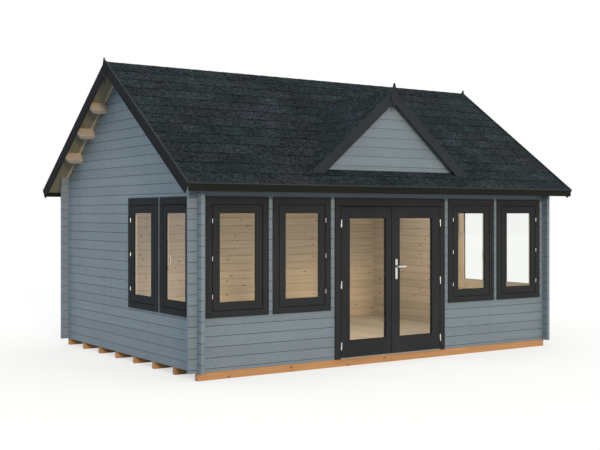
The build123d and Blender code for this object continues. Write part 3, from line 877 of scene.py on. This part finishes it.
class FinishSettings(bpy.types.PropertyGroup):
    wall_paint: tint_of("Wall paint", "Grey-blue paint on the logs outside", (0.185, 0.247, 0.301))
    dark_paint: tint_of("Dark paint", "Anthracite paint on windows and doors",
                        (0.0302, 0.0350, 0.0398))
    barge_paint: tint_of("Barge paint", "Paint on the gables' barge boards and finials",
                         (0.0195, 0.0225, 0.0280))
    dormer_paint: tint_of("Dormer paint", "Paint on the dormer's barge boards and finial",
                          (0.0322, 0.0380, 0.0460))
    fascia_paint: tint_of("Fascia paint", "Anthracite paint on the fascias",
                          (0.0168, 0.0190, 0.0165))
    # lighter paint on eased edges: thinner paint there, and a painted highlight along them
    edge_wear_and_highlight: tint_of("Edge paint", "Thinner paint on eased edges", (0.036, 0.038, 0.039))
    # darker paint on the eased edges of the door leaves and their frame: painted shade in the seams
    # between them
    seam_shade_paint: tint_of("Seam paint", "Darker paint on the edges of the door leaves",
                        (0.013, 0.014, 0.015))
    strip_paint: tint_of("Strip paint", "Paint on the strips along the roof's edges",
                         (0.045, 0.053, 0.061))
    seal_black: tint_of("Seal", "Black seal round the panes", (0.011, 0.011, 0.011))
    dark_gloss: share("Dark gloss", "Gloss of the anthracite paint", 0.015)
    spruce_light: tint_of("Spruce", "Pale wood between the rings", (0.585, 0.505, 0.39))
    spruce_dark: tint_of("Spruce rings", "Darker wood of the rings", (0.445, 0.365, 0.26))
    knot_brown: tint_of("Knots", "Brown of the knots", (0.17, 0.085, 0.036))
    # darker olive stain with painted shade on the roof boards outside the walls, under the eaves
    soffit_stain_and_shade: tint_of("Soffit stain", "Stain of the roof boards outside the walls",
                          (0.275, 0.27, 0.2))
    purlin_light: tint_of("Purlin", "Pale sawn wood of the purlins", (0.485, 0.445, 0.386))
    purlin_dark: tint_of("Purlin rings", "Rings of the purlins", (0.41, 0.352, 0.288))
    bearer_light: tint_of("Bearer wood", "Treated floor bearers", (0.56, 0.32, 0.15))
    bearer_dark: tint_of("Bearer rings", "Rings of the floor bearers", (0.41, 0.215, 0.095))
    felt_green: tint_of("Green felt", "Green-black felt tabs", (0.0152, 0.0250, 0.0285))
    felt_grey: tint_of("Grey felt", "Grey-black felt tabs", (0.0182, 0.0236, 0.0302))
    glass_tint: tint_of("Glass", "Tint of the panes", (0.96, 0.97, 0.955))
    glass_shadow: tint_of("Glass shadow", "Light that the panes let through", (0.93, 0.94, 0.93))
    glass_bend: number("Glass bend", "How much the panes bend and mirror light", 1.2, 1.0)
    steel: tint_of("Steel", "Satin steel of hinges and handles", (0.72, 0.72, 0.705))
    # near-black collars at the lever's neck: partly a black rose, partly painted shade of the lever
    # on the plate
    collar_shade_steel: tint_of("Collar", "Dark steel of the spindle collars", (0.02, 0.02, 0.02))
    strip_metal: tint_of("Threshold", "Metal of the threshold", (0.34, 0.325, 0.3))
    log_height: length("Log height", "Height of one log", 0.118)
    joint_width: length("Joint width", "Width of the dark joint between logs", 0.0042)
    # joint shades darken the log joints: partly the dark gap, partly painted shade in the groove
    joint_shade: share("Joint shade", "How dark a log joint is outside", 0.32)
    dormer_joint_shade: share("Dormer joint shade", "How dark a joint is on the dormer", 0.72)
    inner_joint_shade: share("Inner joint shade", "How dark a log joint is inside", 0.5)
    inner_joint_cut: number("Inner joint cut", "How deep a log joint looks inside", 4.0)
    long_first: length("Long wall joint", "Height of a joint on the long walls", 0.1265)
    side_first: length("Side wall joint", "Height of a joint on the side walls", 0.1855)
    dormer_first: length("Dormer joint", "Height of a joint carried up to the dormer", 0.181)


class RoofSettings(bpy.types.PropertyGroup):
    pitch: angle_of("Pitch", "Slope of the main roof", 35.5)
    dormer_pitch: angle_of("Dormer pitch", "Slope of the dormer roof", 40.5)
    course: length("Course", "Part of a shingle that shows", 0.205)
    tab: length("Tab", "Width of one shingle tab", 0.333)
    slit: length("Slit", "Gap between two tabs", 0.0015)
    felt: length("Felt", "Thickness of a shingle", 0.004)
    bed: length("Underlay", "Thickness of the felt under the shingles", 0.001)
    rise: length("Rise", "Lift of a shingle's lower edge", 0.006)
    dormer_rise: length("Dormer rise", "Lift of a shingle's lower edge on the dormer", 0.003)
    lap: length("Lap", "Part hidden by the course above", 0.05)
    cap_half: length("Ridge cap", "Reach of a ridge cap down each side", 0.15)
    dormer_cap_half: length("Dormer cap", "Reach of a dormer cap down each side", 0.11)
    strip: length("Edge strip", "Thickness of the strips along the roof's edges", 0.003)
    strip_drop: length("Strip drop", "Height of the strip over the fascia", 0.011)
    board: length("Roof board", "Width of one roof board", 0.096)
    board_groove: length("Roof board groove", "Chamfer along the lower edges of roof boards", 0.004)
    seed: bpy.props.IntProperty(name="Seed", description="Seed of the shingles' tones", default=11)


class JoinerySettings(bpy.types.PropertyGroup):
    frame_edge: length("Frame edge", "Rounding of window and door edges", 0.0025)
    trim_edge: length("Trim edge", "Rounding of the roof trim's edges", 0.003)
    paint_in: length("Paint depth", "How far the dark paint reaches into a window", 0.02)
    pane_bite: length("Pane bite", "Edge of a pane held in its frame", 0.01)
    seal_face: length("Seal face", "Width of the seal on the pane", 0.0045)
    seal_side: length("Seal side", "Width of the seal on the frame", 0.006)
    plank: length("Plank", "Width of one floor plank", 0.114)
    chamfer: length("Chamfer", "Chamfer along the planks' edges", 0.0018)
    gap: length("Gap", "Open joint between planks", 0.0006)


class HardwareSettings(bpy.types.PropertyGroup):
    handle_edge: length("Handle edge", "Rounding of the door handle's edges", 0.0016)
    grip_edge: length("Grip edge", "Rounding of the window grips' edges", 0.002)
    screw: length("Screw", "Radius of a screw head", 0.0042)
    screw_in: length("Screw place", "Distance of a screw from the plate's end", 0.021)
    cylinder_drop: length("Cylinder", "Distance of the key cylinder under the lever", 0.092)
    cylinder: length("Cylinder head", "Radius of the key cylinder's head", 0.0085)
    stem: length("Cylinder stem", "Radius of the key cylinder's stem", 0.005)
    stem_drop: length("Stem drop", "Distance of the stem's end under the head", 0.019)
    plug: length("Plug", "Radius of the plug that the key turns", 0.0064)
    cylinder_out: length("Cylinder height", "Height of the cylinder on the plate", 0.0026)
    plug_out: length("Plug height", "Height of the plug on the plate", 0.0036)
    collar: length("Collar", "Radius of the collar round the lever's neck", 0.0145)
    neck: length("Neck", "Radius of the lever's neck", 0.0082)
    barrel: length("Barrel", "Radius of the door hinges", 0.007)
    knuckle: length("Knuckle", "Height of one hinge knuckle", 0.04225)
    rib: length("Rib", "Depth of the threshold's grooves", 0.0016)


class StageSettings(bpy.types.PropertyGroup):
    camera_place: place_at("Camera", "Place of the camera", (-8.0016, -11.7703, 1.8332))
    camera_turn: angle_of("Camera turn", "Turn of the camera to the right", 33.947)
    camera_lens: number("Lens", "Focal length in millimetres", 60.85, 1.0, unit="CAMERA")
    camera_film: number("Film", "Width of the film in millimetres", 36.0, 1.0, unit="CAMERA")
    camera_shift: number("Shift", "Upward shift of the frame", -0.0178, -1.0)
    floor_half: length("Floor", "Half of the floor's width", 60.0)
    floor_tint: tint_of("Floor tint", "Colour of the floor", (0.42, 0.42, 0.41))
    floor_glow: share("Floor glow", "Paleness that the floor adds where it is seen", 0.6)
    sky: number("Sky", "Strength of the light all round", 0.96)
    sky_tint: tint_of("Sky tint", "Colour of the light all round", (0.95, 0.985, 1.0))
    key: number("Key", "Strength of the soft main light", 1.5)
    key_tint: tint_of("Key tint", "Colour of the soft main light", (1.0, 0.72, 0.47))
    key_angle: angle_of("Key angle", "How soft the main light is", 9.0)
    key_way: bpy.props.FloatVectorProperty(name="Key way", description="Way the main light shines",
                                           default=(0.22, 0.9, -0.2), size=3, subtype="DIRECTION")
    room: number("Room light", "Strength of the light inside", 53.5, unit="POWER")
    room_tint: tint_of("Room tint", "Colour of the light inside", (1.0, 0.95, 0.88))
    room_wide: length("Room light width", "Width of the light inside", 4.4)
    room_deep: length("Room light depth", "Depth of the light inside", 2.4)
    room_place: place_at("Room light place", "Place of the light inside", (0.4, -0.2, 2.3))


# operators
class GARDEN_OT_log_walls(bpy.types.Operator):
    """Paint the log walls outside and leave them bare spruce inside"""
    bl_idname = "garden.log_walls"
    bl_label = "Log walls"

    def execute(self, context):
        look = context.scene.garden_finish
        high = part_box("floor_boards")[1]
        room = (high.x + WALL_MIDDLE, high.y + WALL_MIDDLE)
        for nodes, name, long_way, first, joint, inside in (
                (LONG_WALLS, "long", True, look.long_first, look.joint_shade, room),
                (SIDE_WALLS, "side", False, look.side_first, look.joint_shade, room),
                (("dormer_front",), "dormer", True, look.dormer_first, look.dormer_joint_shade,
                 None)):
            finish = log_finish("painted_logs_" + name, look, long_way, first, joint, inside)
            for node in nodes:
                dress(node, finish)
                shade(node)
        return {"FINISHED"}


class GARDEN_OT_joinery(bpy.types.Operator):
    """Paint windows and doors anthracite outside and ease their edges"""
    bl_idname = "garden.joinery"
    bl_label = "Windows and doors"

    def execute(self, context):
        look = context.scene.garden_finish
        sizes = context.scene.garden_joinery
        paint_x = -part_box("side_window_sashes")[0].x - sizes.paint_in
        paint_y = -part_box("front_window_sashes")[0].y - sizes.paint_in
        inner_y = -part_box("left_leaf_frame")[1].y + sizes.frame_edge
        for kind, nodes, pane, edge, room in (
                # windows: the lighter edge paint on their eased edges is thinner paint and a
                # painted highlight
                ("window", WINDOW_JOINERY, "window_panes", look.edge_wear_and_highlight, (paint_x, paint_y)),
                # door leaves and their frame: the darker seam paint on their eased edges is painted
                # shade in the seams
                ("leaf", LEAVES, "left_leaf_pane", look.seam_shade_paint, (paint_x, inner_y)),
                ("door_frame", DOOR_FRAME, "left_leaf_pane", look.seam_shade_paint, None)):
            low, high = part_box(pane)
            grain = framed(low.z + sizes.pane_bite, high.z - sizes.pane_bite)
            paint_nodes(nodes, kind, look.dark_paint, edge, look, grain, sizes.frame_edge, room)
        return {"FINISHED"}


class GARDEN_OT_roof_trim(bpy.types.Operator):
    """Paint the fascias, barge boards and finials and ease their edges"""
    bl_idname = "garden.roof_trim"
    bl_label = "Roof trim"

    def execute(self, context):
        look = context.scene.garden_finish
        roof = context.scene.garden_roof
        width = context.scene.garden_joinery.trim_edge
        for kind, nodes, paint, grain in (
                ("fascia", ("fascia_boards",), look.fascia_paint, level),
                ("barge", GABLE_BARGES, look.barge_paint, sloping(1, roof.pitch)),
                ("dormer_barge", DORMER_BARGES, look.dormer_paint, sloping(0, roof.dormer_pitch)),
                ("finial", ("gable_finials",), look.barge_paint, upright),
                ("dormer_finial", ("dormer_finial",), look.dormer_paint, upright)):
            # eased edges take the lighter edge paint: thinner paint and a painted highlight
            paint_nodes(nodes, kind, paint, look.edge_wear_and_highlight, look, grain, width)
        return {"FINISHED"}


class GARDEN_OT_glazing(bpy.types.Operator):
    """Glaze the windows and doors and seal their panes"""
    bl_idname = "garden.glazing"
    bl_label = "Glazing"

    def execute(self, context):
        look = context.scene.garden_finish
        sizes = context.scene.garden_joinery
        clear = glass_finish("clear_glass", look)
        seal = dark_finish("glazing_seal", look.seal_black, look, upright)
        for node, name, body in (("window_panes", "window_seals", HOUSE),
                                 ("left_leaf_pane", "left_leaf_seals", LEFT_LEAF),
                                 ("right_leaf_pane", "right_leaf_seals", RIGHT_LEAF)):
            dress(node, clear)
            shade(node)
            stock = Stock()
            for low, high in solids_of(node):
                self.seal(stock, sizes, low, high)
            stock.build(name, seal, body, DARK_WOOD)
        return {"FINISHED"}

    def seal(self, stock, sizes, low, high):
        """A three-cornered bead round both faces of one pane."""
        deep = 0 if high.x - low.x < high.y - low.y else 1
        wide = 1 - deep
        for face, out in ((low[deep], -1), (high[deep], 1)):
            sections = []
            for end_u, end_z in ((0, 0), (1, 0), (1, 1), (0, 1)):
                section = []
                for inset, proud in ((0.0, 0.0), (0.0, sizes.seal_side), (sizes.seal_face, 0.0)):
                    point = Vector((0.0, 0.0, 0.0))
                    point[deep] = face + out * proud
                    for axis, end in ((wide, end_u), (2, end_z)):
                        corner = (low, high)[end][axis]
                        point[axis] = corner + (sizes.pane_bite + inset) * (1 - 2 * end)
                    section.append(point)
                sections.append(section)
            stock.ring(sections)


class GARDEN_OT_timbers(bpy.types.Operator):
    """Finish the floor bearers and the purlins"""
    bl_idname = "garden.timbers"
    bl_label = "Bearers and purlins"

    def execute(self, context):
        look = context.scene.garden_finish
        bearers = sawn_finish("treated_bearers", look, look.bearer_light, look.bearer_dark, 0, 2)
        purlins = sawn_finish("spruce_purlins", look, look.purlin_light, look.purlin_dark, 0, 2,
                              ends=PURLIN_END_TONES)
        for node, finish in (("floor_bearers", bearers), ("purlins", purlins)):
            dress(node, finish)
            shade(node)
            soften(node, context.scene.garden_joinery.trim_edge, 2)
        return {"FINISHED"}


class GARDEN_OT_roof_boards(bpy.types.Operator):
    """Lay the roof boards from ridge to eaves on both slopes"""
    bl_idname = "garden.roof_boards"
    bl_label = "Roof boards"

    def execute(self, context):
        look = context.scene.garden_finish
        roof = context.scene.garden_roof
        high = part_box("floor_boards")[1]
        # outside the walls the boards get the soffit's stain with painted shade
        outdoors = (look.soffit_stain_and_shade, (high.x + STAIN_SHADE_START, high.y + STAIN_SHADE_START))
        finish = sawn_finish("spruce_roof_boards", look, look.spruce_light, look.spruce_dark, 1, 0,
                             "board", outdoors=outdoors)
        slope = math.tan(roof.pitch)
        cosine = math.cos(roof.pitch)
        groove = roof.board_groove
        for side, node in ((-1, "roof_deck_front"), (1, "roof_deck_back")):
            low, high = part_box(node)
            reach = max(abs(low.y), abs(high.y))
            deep = (high.z - low.z - reach * slope) * cosine
            ridge = high.z - deep / cosine

            def spot(u, h, y):
                return u, side * y, ridge - y * slope + h / cosine

            count = round((high.x - low.x) / roof.board)
            wide = (high.x - low.x) / count
            stock = Stock("board")
            for i in range(count):
                a = low.x + wide * i + BOARD_IN
                b = low.x + wide * (i + 1) - BOARD_IN
                shape = [(a, groove), (a + groove, 0.0), (b - groove, 0.0), (b, groove),
                         (b, deep), (a, deep)]
                stock.drawn(shape, (0.0, reach), spot, (i + 1 + count * (side > 0),))
            stock.build(node.replace("deck", "boards"), finish, HOUSE, BARE_WOOD, (node,))
        return {"FINISHED"}


class GARDEN_OT_shingles(bpy.types.Operator):
    """Lay the felt shingles on the main roof and the dormer, and cap the ridges"""
    bl_idname = "garden.shingles"
    bl_label = "Shingles"

    def execute(self, context):
        look = context.scene.garden_finish
        roof = context.scene.garden_roof
        felt = felt_finish("felt_shingles", look, 0)
        dormer_felt = felt_finish("felt_dormer_shingles", look, 1)
        draw = random.Random(roof.seed)
        cosine, sine = math.cos(roof.pitch), math.sin(roof.pitch)
        for side, node in ((-1, "roof_shingles_front"), (1, "roof_shingles_back")):
            low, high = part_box(node)
            fall = max(abs(low.y), abs(high.y)) / cosine - EAVE_IN
            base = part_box(node.replace("shingles", "deck"))[1].z

            def spot(u, s, h):
                return Vector((u, side * (s * cosine + h * sine), base - s * sine + h * cosine))

            stock = Stock(*FELT_TAGS)
            ends = (low.x + VERGE_IN, high.x - VERGE_IN)
            underlay(stock, roof, spot, oblong(ends, PEAK_IN, fall))
            shingle_field(stock, roof, draw, spot, ends, fall, TOP_IN, roof.rise,
                          BACK_ROWS * (side > 0))
            stock.build(node.replace("roof_", "felt_"), felt, HOUSE, FELT, (node,))
        self.ridge(roof, draw, felt)
        self.dormer(roof, draw, dormer_felt)
        return {"FINISHED"}

    def ridge(self, roof, draw, felt):
        low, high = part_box("ridge_cap")
        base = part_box("roof_shingles_front")[1].z
        stock = Stock(*FELT_TAGS)
        span = high.x - low.x - 2 * PEAK_IN
        count = round(span / roof.course)
        for i in range(count):
            a = low.x + PEAK_IN + span / count * i
            b = min(a + span / count + roof.lap, high.x - PEAK_IN)
            self.cap(stock, roof, draw, roof.pitch, roof.cap_half, a, b,
                     lambda x, y, z: Vector((x, y, base + z)))
        stock.build("felt_ridge_caps", felt, HOUSE, FELT, ("ridge_cap",))

    def cap(self, stock, roof, draw, pitch, half, a, b, place):
        """One bent cap over a ridge: its near end lies on the cap before it."""
        cosine, sine = math.cos(pitch), math.sin(pitch)
        tone = draw.random()
        loops = []
        for along, lift in zip((a, b), CAP_LIFTS):
            under, over = [], []
            for s in (-half, -CAP_CREASE, 0.0, CAP_CREASE, half):
                soft = 0.0 if s else CAP_PRESS
                turn = math.copysign(sine, s) if s else 0.0
                for line, h in ((under, lift), (over, lift + roof.felt)):
                    line.append(place(along, s * cosine + turn * h,
                                      -abs(s) * sine - soft + h * cosine))
            loops.append(under + over[::-1])
        # the cap's cut ends are darkened: black bitumen and painted shade
        stock.prism(*loops, (CAP_ROW, tone, 1.0), (CAP_ROW, tone, 0.0))

    def dormer(self, roof, draw, felt):
        cosine, sine = math.cos(roof.dormer_pitch), math.sin(roof.dormer_pitch)
        main_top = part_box("roof_shingles_front")[1].z
        main_slope = math.tan(roof.pitch)
        for side, node in ((-1, "dormer_roof_left"), (1, "dormer_roof_right")):
            low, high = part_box(node)
            peak = high.z

            def spot(y, s, h):
                return Vector((side * (s * cosine + h * sine), y, peak - s * sine + h * cosine))

            def keep(y, s):
                return (peak - s * sine + VALLEY_IN) - (main_top + y * main_slope)

            ends = (low.y + VERGE_IN, high.y + VALLEY_REACH)
            fall = max(abs(low.x), abs(high.x)) / cosine
            stock = Stock(*FELT_TAGS)
            underlay(stock, roof, spot, trim(oblong(ends, PEAK_IN, fall), keep))
            shingle_field(stock, roof, draw, spot, ends, fall, DORMER_TOP_IN, roof.dormer_rise,
                          DORMER_ROWS + BACK_ROWS * (side > 0), keep)
            stock.build(node.replace("dormer_roof", "felt_dormer"), felt, HOUSE, FELT)
        low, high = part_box("dormer_roof_left")
        stock = Stock(*FELT_TAGS)
        span = high.y + CAP_REACH - low.y - PEAK_IN
        count = round(span / roof.course)
        for i in range(count):
            a = low.y + PEAK_IN + span / count * i
            b = a + span / count + CAP_REACH
            self.cap(stock, roof, draw, roof.dormer_pitch, roof.dormer_cap_half, a, b,
                     lambda y, x, z: Vector((x, y, high.z + DORMER_TOP_IN + z)))
        stock.build("felt_dormer_caps", felt, HOUSE, FELT)


class GARDEN_OT_edge_strips(bpy.types.Operator):
    """Lay the thin strips along the eaves and the gable edges of the roof"""
    bl_idname = "garden.edge_strips"
    bl_label = "Roof edge strips"

    def execute(self, context):
        look = context.scene.garden_finish
        roof = context.scene.garden_roof
        self.eaves(look, roof, roof.strip)
        self.verges(look, roof, roof.strip)
        return {"FINISHED"}

    def eaves(self, look, roof, thick):
        low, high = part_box("fascia_boards")
        face, top = high.y, high.z
        foot, back = top - roof.strip_drop, face - STRIP_LEG
        shape = [(face, foot), (face + thick, foot), (face + thick, top - thick),
                 (face - 2 * thick, top + thick), (back, top + thick), (back, top), (face, top)]
        stock = Stock()
        for side in (-1, 1):
            stock.drawn(shape, (low.x + STRIP_IN, high.x - STRIP_IN),
                        lambda y, z, x: (x, side * y, z))
        finish = dark_finish("eave_strip_paint", look.strip_paint, look, level)
        stock.build("eave_strips", finish, HOUSE, DARK_WOOD)

    def verges(self, look, roof, thick):
        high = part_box("barge_boards_back")[1]
        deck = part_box("roof_deck_back")[1].x
        rise = thick / math.cos(roof.pitch)
        slope = math.tan(roof.pitch)
        shape = [(deck, 0.0), (high.x, 0.0), (high.x - thick, rise), (deck, rise)]
        stock = Stock()
        for side in (-1, 1):
            for end in (-1, 1):
                stock.drawn(shape, (0.0, high.y),
                            lambda x, h, y: (end * x, side * y, high.z - y * slope + h))
        finish = dark_finish("verge_strip_paint", look.strip_paint, look, sloping(1, roof.pitch))
        stock.build("verge_strips", finish, HOUSE, DARK_WOOD)


class GARDEN_OT_floor(bpy.types.Operator):
    """Lay the floor planks over the bearers"""
    bl_idname = "garden.floor"
    bl_label = "Floor planks"

    def execute(self, context):
        look = context.scene.garden_finish
        sizes = context.scene.garden_joinery
        finish = sawn_finish("spruce_floor", look, look.spruce_light, look.spruce_dark, 1, 0,
                             "board")
        low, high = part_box("floor_boards")
        notch_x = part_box("door_threshold")[1].x + NOTCH_SIDE
        notch_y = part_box("door_jambs")[1].y + NOTCH_BACK
        count = round((high.x - low.x) / sizes.plank)
        wide = (high.x - low.x) / count
        cuts = sorted([low.x + wide * i for i in range(count + 1)] + [-notch_x, notch_x])
        stock = Stock("board")
        c = sizes.chamfer
        for i, (a, b) in enumerate(zip(cuts, cuts[1:])):
            if b - a < THIN_PLANK:
                continue
            a += sizes.gap / 2
            b -= sizes.gap / 2
            front = notch_y if -notch_x < (a + b) / 2 < notch_x else low.y
            shape = [(a, low.z), (b, low.z), (b, high.z - c), (b - c, high.z), (a + c, high.z),
                     (a, high.z - c)]
            stock.drawn(shape, (front, high.y), lambda x, z, y: (x, y, z), (i + PLANK_NUMBERS,))
        stock.build("floor_planks", finish, HOUSE, BARE_WOOD, ("floor_boards",))
        return {"FINISHED"}


class GARDEN_OT_hinges(bpy.types.Operator):
    """Finish the hinges and close the door hinges with domed caps"""
    bl_idname = "garden.hinges"
    bl_label = "Hinges"

    def execute(self, context):
        look = context.scene.garden_finish
        sizes = context.scene.garden_hardware
        steel = steel_finish("satin_steel", look.steel, *SATIN)
        for node in HINGES:
            dress(node, steel)
        first_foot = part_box("door_frame_hinges")[0].z
        feet = Stock()
        for body in (LEFT_LEAF, RIGHT_LEAF):
            axis = joint_place(body + "_hinge")
            low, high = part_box(body + "_hinges")
            caps = Stock()
            for step in (0.0, 0.5, 1.0):
                up = step * (high.z - low.z - sizes.knuckle)
                for stock, end, way in ((caps, low.z + sizes.knuckle + up, 1),
                                        (feet, first_foot + up, -1)):
                    stock.turned(
                        HINGE_DOME, sizes.barrel,
                        lambda a, b, h: Vector((axis.x + a, axis.y + b, end + way * h)),
                        HINGE_STEPS)
            caps.build(body + "_hinge_caps", steel, body, STEEL, smooth=ROUND_ANGLE)
        feet.build("door_hinge_feet", steel, HOUSE, STEEL, smooth=ROUND_ANGLE)
        return {"FINISHED"}


class GARDEN_OT_handles(bpy.types.Operator):
    """Finish the door handle with its screws, collars and key cylinder; the near-black collars are
    partly a black rose and partly painted shade of the lever on the plate
    """
    bl_idname = "garden.handles"
    bl_label = "Door handle"

    def execute(self, context):
        look = context.scene.garden_finish
        sizes = context.scene.garden_hardware
        steel = bpy.data.materials["satin_steel"]
        for node, rounded, edge in (("handle_plates", True, sizes.handle_edge),
                                    ("lever_handle", True, sizes.handle_edge),
                                    ("window_grips", False, sizes.grip_edge)):
            dress(node, steel)
            shade(node, rounded)
            soften(node, edge, 3)
        low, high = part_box("handle_plates")
        axis = joint_place("lever_turn")
        screws, key, collars = Stock(), Stock(), Stock()
        for face, out in ((low.y, -1), (high.y, 1)):
            def spot(x, z, h):
                return Vector((axis.x + x, face + out * h, axis.z + z))

            for z in (low.z + sizes.screw_in, high.z - sizes.screw_in):
                screws.turned(SCREW_HEAD, sizes.screw,
                              lambda a, b, h: spot(a, b + z - axis.z, h), SCREW_STEPS)
            self.cylinder(key, sizes, lambda a, b, h: spot(a, b - sizes.cylinder_drop, h))
            self.collar(collars, sizes, spot)
        screws.build("plate_screws", steel, RIGHT_LEAF, STEEL, smooth=ROUND_ANGLE)
        key.build("key_cylinder", steel, RIGHT_LEAF, STEEL)
        # the near-black collars are partly a black rose, partly painted shade of the lever on the
        # plate
        dark = steel_finish("collar_shade_steel", look.collar_shade_steel, *COLLAR_SHADE_METAL)
        collars.build("lever_shade_collars", dark, LEVER, STEEL, smooth=ROUND_ANGLE)
        return {"FINISHED"}

    def cylinder(self, stock, sizes, place):
        """A key cylinder: its round head with a stem below, and a plug split by the keyway."""
        head = arc(sizes.cylinder, *HEAD_ARC) + arc(sizes.stem, *STEM_ARC, sizes.stem_drop)
        stock.drawn(head, (0.0, sizes.cylinder_out), place)
        for side in (-1, 1):
            half = [(side * a, b) for a, b in arc(sizes.plug, *PLUG_ARC)]
            stock.drawn(half, (sizes.cylinder_out, sizes.plug_out), place)

    def collar(self, stock, sizes, place):
        """A near-black collar round the lever's neck, standing on the plate: partly a black rose,
        partly painted shade of the lever.
        """
        outline = [(sizes.neck, COLLAR_FOOT), (sizes.collar, COLLAR_FOOT),
                   (sizes.collar, COLLAR_SIDE), (sizes.collar - COLLAR_CHAMFER, COLLAR_SHOULDER),
                   (sizes.neck, COLLAR_TOP)]
        sections = []
        for i in range(COLLAR_STEPS):
            angle = 2 * math.pi * i / COLLAR_STEPS
            sections.append([place(r * math.cos(angle), r * math.sin(angle), h)
                             for r, h in outline])
        stock.ring(sections)


class GARDEN_OT_threshold(bpy.types.Operator):
    """Lay the grooved metal threshold under the door"""
    bl_idname = "garden.threshold"
    bl_label = "Threshold"

    def execute(self, context):
        look = context.scene.garden_finish
        rib = context.scene.garden_hardware.rib
        metal = steel_finish("threshold_metal", look.strip_metal, *THRESHOLD_METAL)
        low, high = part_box("door_threshold")
        top = high.z
        # a chamfered nosing, then one groove in every three rib depths
        shape = [(low.y, low.z), (low.y, top - 2 * rib), (low.y + 2 * rib, top)]
        step = 3 * rib
        y = low.y + 4 * rib
        while y + 2 * step < high.y:
            shape += [(y, top), (y + 0.3 * rib, top - rib), (y + rib, top - rib),
                      (y + 1.3 * rib, top)]
            y += step
        shape += [(high.y - rib, top), (high.y, top - rib), (high.y, low.z)]
        stock = Stock()
        stock.drawn(shape, (low.x, high.x), lambda y, z, x: (x, y, z))
        stock.build("grooved_threshold", metal, HOUSE, "threshold_metal", ("door_threshold",))
        return {"FINISHED"}


class GARDEN_OT_stage(bpy.types.Operator):
    """Set the floor, the light and the camera"""
    bl_idname = "garden.stage"
    bl_label = "Stage"

    def execute(self, context):
        scene = context.scene
        stage = scene.garden_stage
        scene.view_settings.view_transform = "Standard"
        self.ground(stage)
        self.sky(scene, stage)
        self.lamps(stage)
        eye = bpy.data.cameras.new("camera")
        eye.sensor_width = stage.camera_film
        eye.lens = stage.camera_lens
        eye.shift_y = stage.camera_shift
        camera = add_object("camera", eye)
        camera.location = stage.camera_place
        camera.rotation_euler = (math.radians(90), 0.0, -stage.camera_turn)
        scene.camera = camera
        return {"FINISHED"}

    def ground(self, stage):
        """A pale floor that keeps the house's shadow."""
        mesh = bpy.data.meshes.new("studio_floor")
        far = stage.floor_half
        corners = [(-far, -far, 0), (far, -far, 0), (far, far, 0), (-far, far, 0)]
        mesh.from_pydata(corners, [], [(0, 1, 2, 3)])
        made = bpy.data.materials.new("studio_floor")
        made.use_nodes = True
        tree = made.node_tree
        tree.nodes.clear()
        out = tree.nodes.new("ShaderNodeOutputMaterial")
        matt = tree.nodes.new("ShaderNodeBsdfDiffuse")
        matt.inputs["Color"].default_value = rgba(stage.floor_tint)
        glow = tree.nodes.new("ShaderNodeEmission")
        glow.inputs["Color"].default_value = (1.0, 1.0, 1.0, 1.0)
        put(tree, glow.inputs["Strength"], times(tree, seen_plainly(tree), stage.floor_glow))
        both = tree.nodes.new("ShaderNodeAddShader")
        put(tree, both.inputs[0], matt.outputs[0])
        put(tree, both.inputs[1], glow.outputs[0])
        put(tree, out.inputs["Surface"], both.outputs[0])
        mesh.materials.append(made)
        floor = add_object("studio_floor", mesh)

    def sky(self, scene, stage):
        """Even light all round, which is plain white where it is seen."""
        world = bpy.data.worlds.new("studio")
        scene.world = world
        world.use_nodes = True
        tree = world.node_tree
        back = tree.nodes["Background"]
        seen = seen_plainly(tree)
        put(tree, back.inputs["Color"],
            blend(tree, seen, rgba(stage.sky_tint), (1.0, 1.0, 1.0, 1.0)))
        put(tree, back.inputs["Strength"], lean(tree, seen, stage.sky, 1.0))

    def lamps(self, stage):
        """A soft low main light, and a light inside the room."""
        sun = bpy.data.lights.new("key_light", "SUN")
        sun.energy = stage.key
        sun.angle = stage.key_angle
        sun.color = stage.key_tint
        key = add_object("key_light", sun)
        key.rotation_euler = Vector(stage.key_way).to_track_quat("-Z", "Y").to_euler()
        lamp = bpy.data.lights.new("room_light", "AREA")
        lamp.energy = stage.room
        lamp.shape = "RECTANGLE"
        lamp.size = stage.room_wide
        lamp.size_y = stage.room_deep
        lamp.color = stage.room_tint
        room = add_object("room_light", lamp)
        room.location = stage.room_place
        for kind in ("visible_camera", "visible_glossy", "visible_transmission"):
            setattr(room, kind, False)


class GARDEN_PT_house(bpy.types.Panel):
    """Sizes, colours and steps of the garden house"""
    bl_idname = "GARDEN_PT_house"
    bl_label = "Garden House"
    bl_space_type = "VIEW_3D"
    bl_region_type = "UI"
    bl_category = "Garden House"

    def draw(self, context):
        for step in STEPS:
            self.layout.operator(step.bl_idname)
        for label in SETTINGS:
            box = self.layout.box()
            settings = getattr(context.scene, label)
            for name in settings.__annotations__:
                box.prop(settings, name)


STEPS = (
    GARDEN_OT_log_walls, GARDEN_OT_joinery, GARDEN_OT_roof_trim, GARDEN_OT_glazing,
    GARDEN_OT_timbers, GARDEN_OT_roof_boards, GARDEN_OT_shingles, GARDEN_OT_edge_strips,
    GARDEN_OT_floor, GARDEN_OT_hinges, GARDEN_OT_handles, GARDEN_OT_threshold, GARDEN_OT_stage,
)
SETTINGS = {
    "garden_finish": FinishSettings,
    "garden_roof": RoofSettings,
    "garden_joinery": JoinerySettings,
    "garden_hardware": HardwareSettings,
    "garden_stage": StageSettings,
}
CLASSES = tuple(SETTINGS.values()) + STEPS + (GARDEN_PT_house,)


def register():
    for each in CLASSES:
        bpy.utils.register_class(each)
    for label, kind in SETTINGS.items():
        setattr(bpy.types.Scene, label, bpy.props.PointerProperty(type=kind))


def unregister():
    for label in SETTINGS:
        delattr(bpy.types.Scene, label)
    for each in reversed(CLASSES):
        bpy.utils.unregister_class(each)


def main():
    register()
    make_effects()
    for step in STEPS:
        family, name = step.bl_idname.split(".")
        getattr(getattr(bpy.ops, family), name)()


if __name__ == "__main__":
    main()
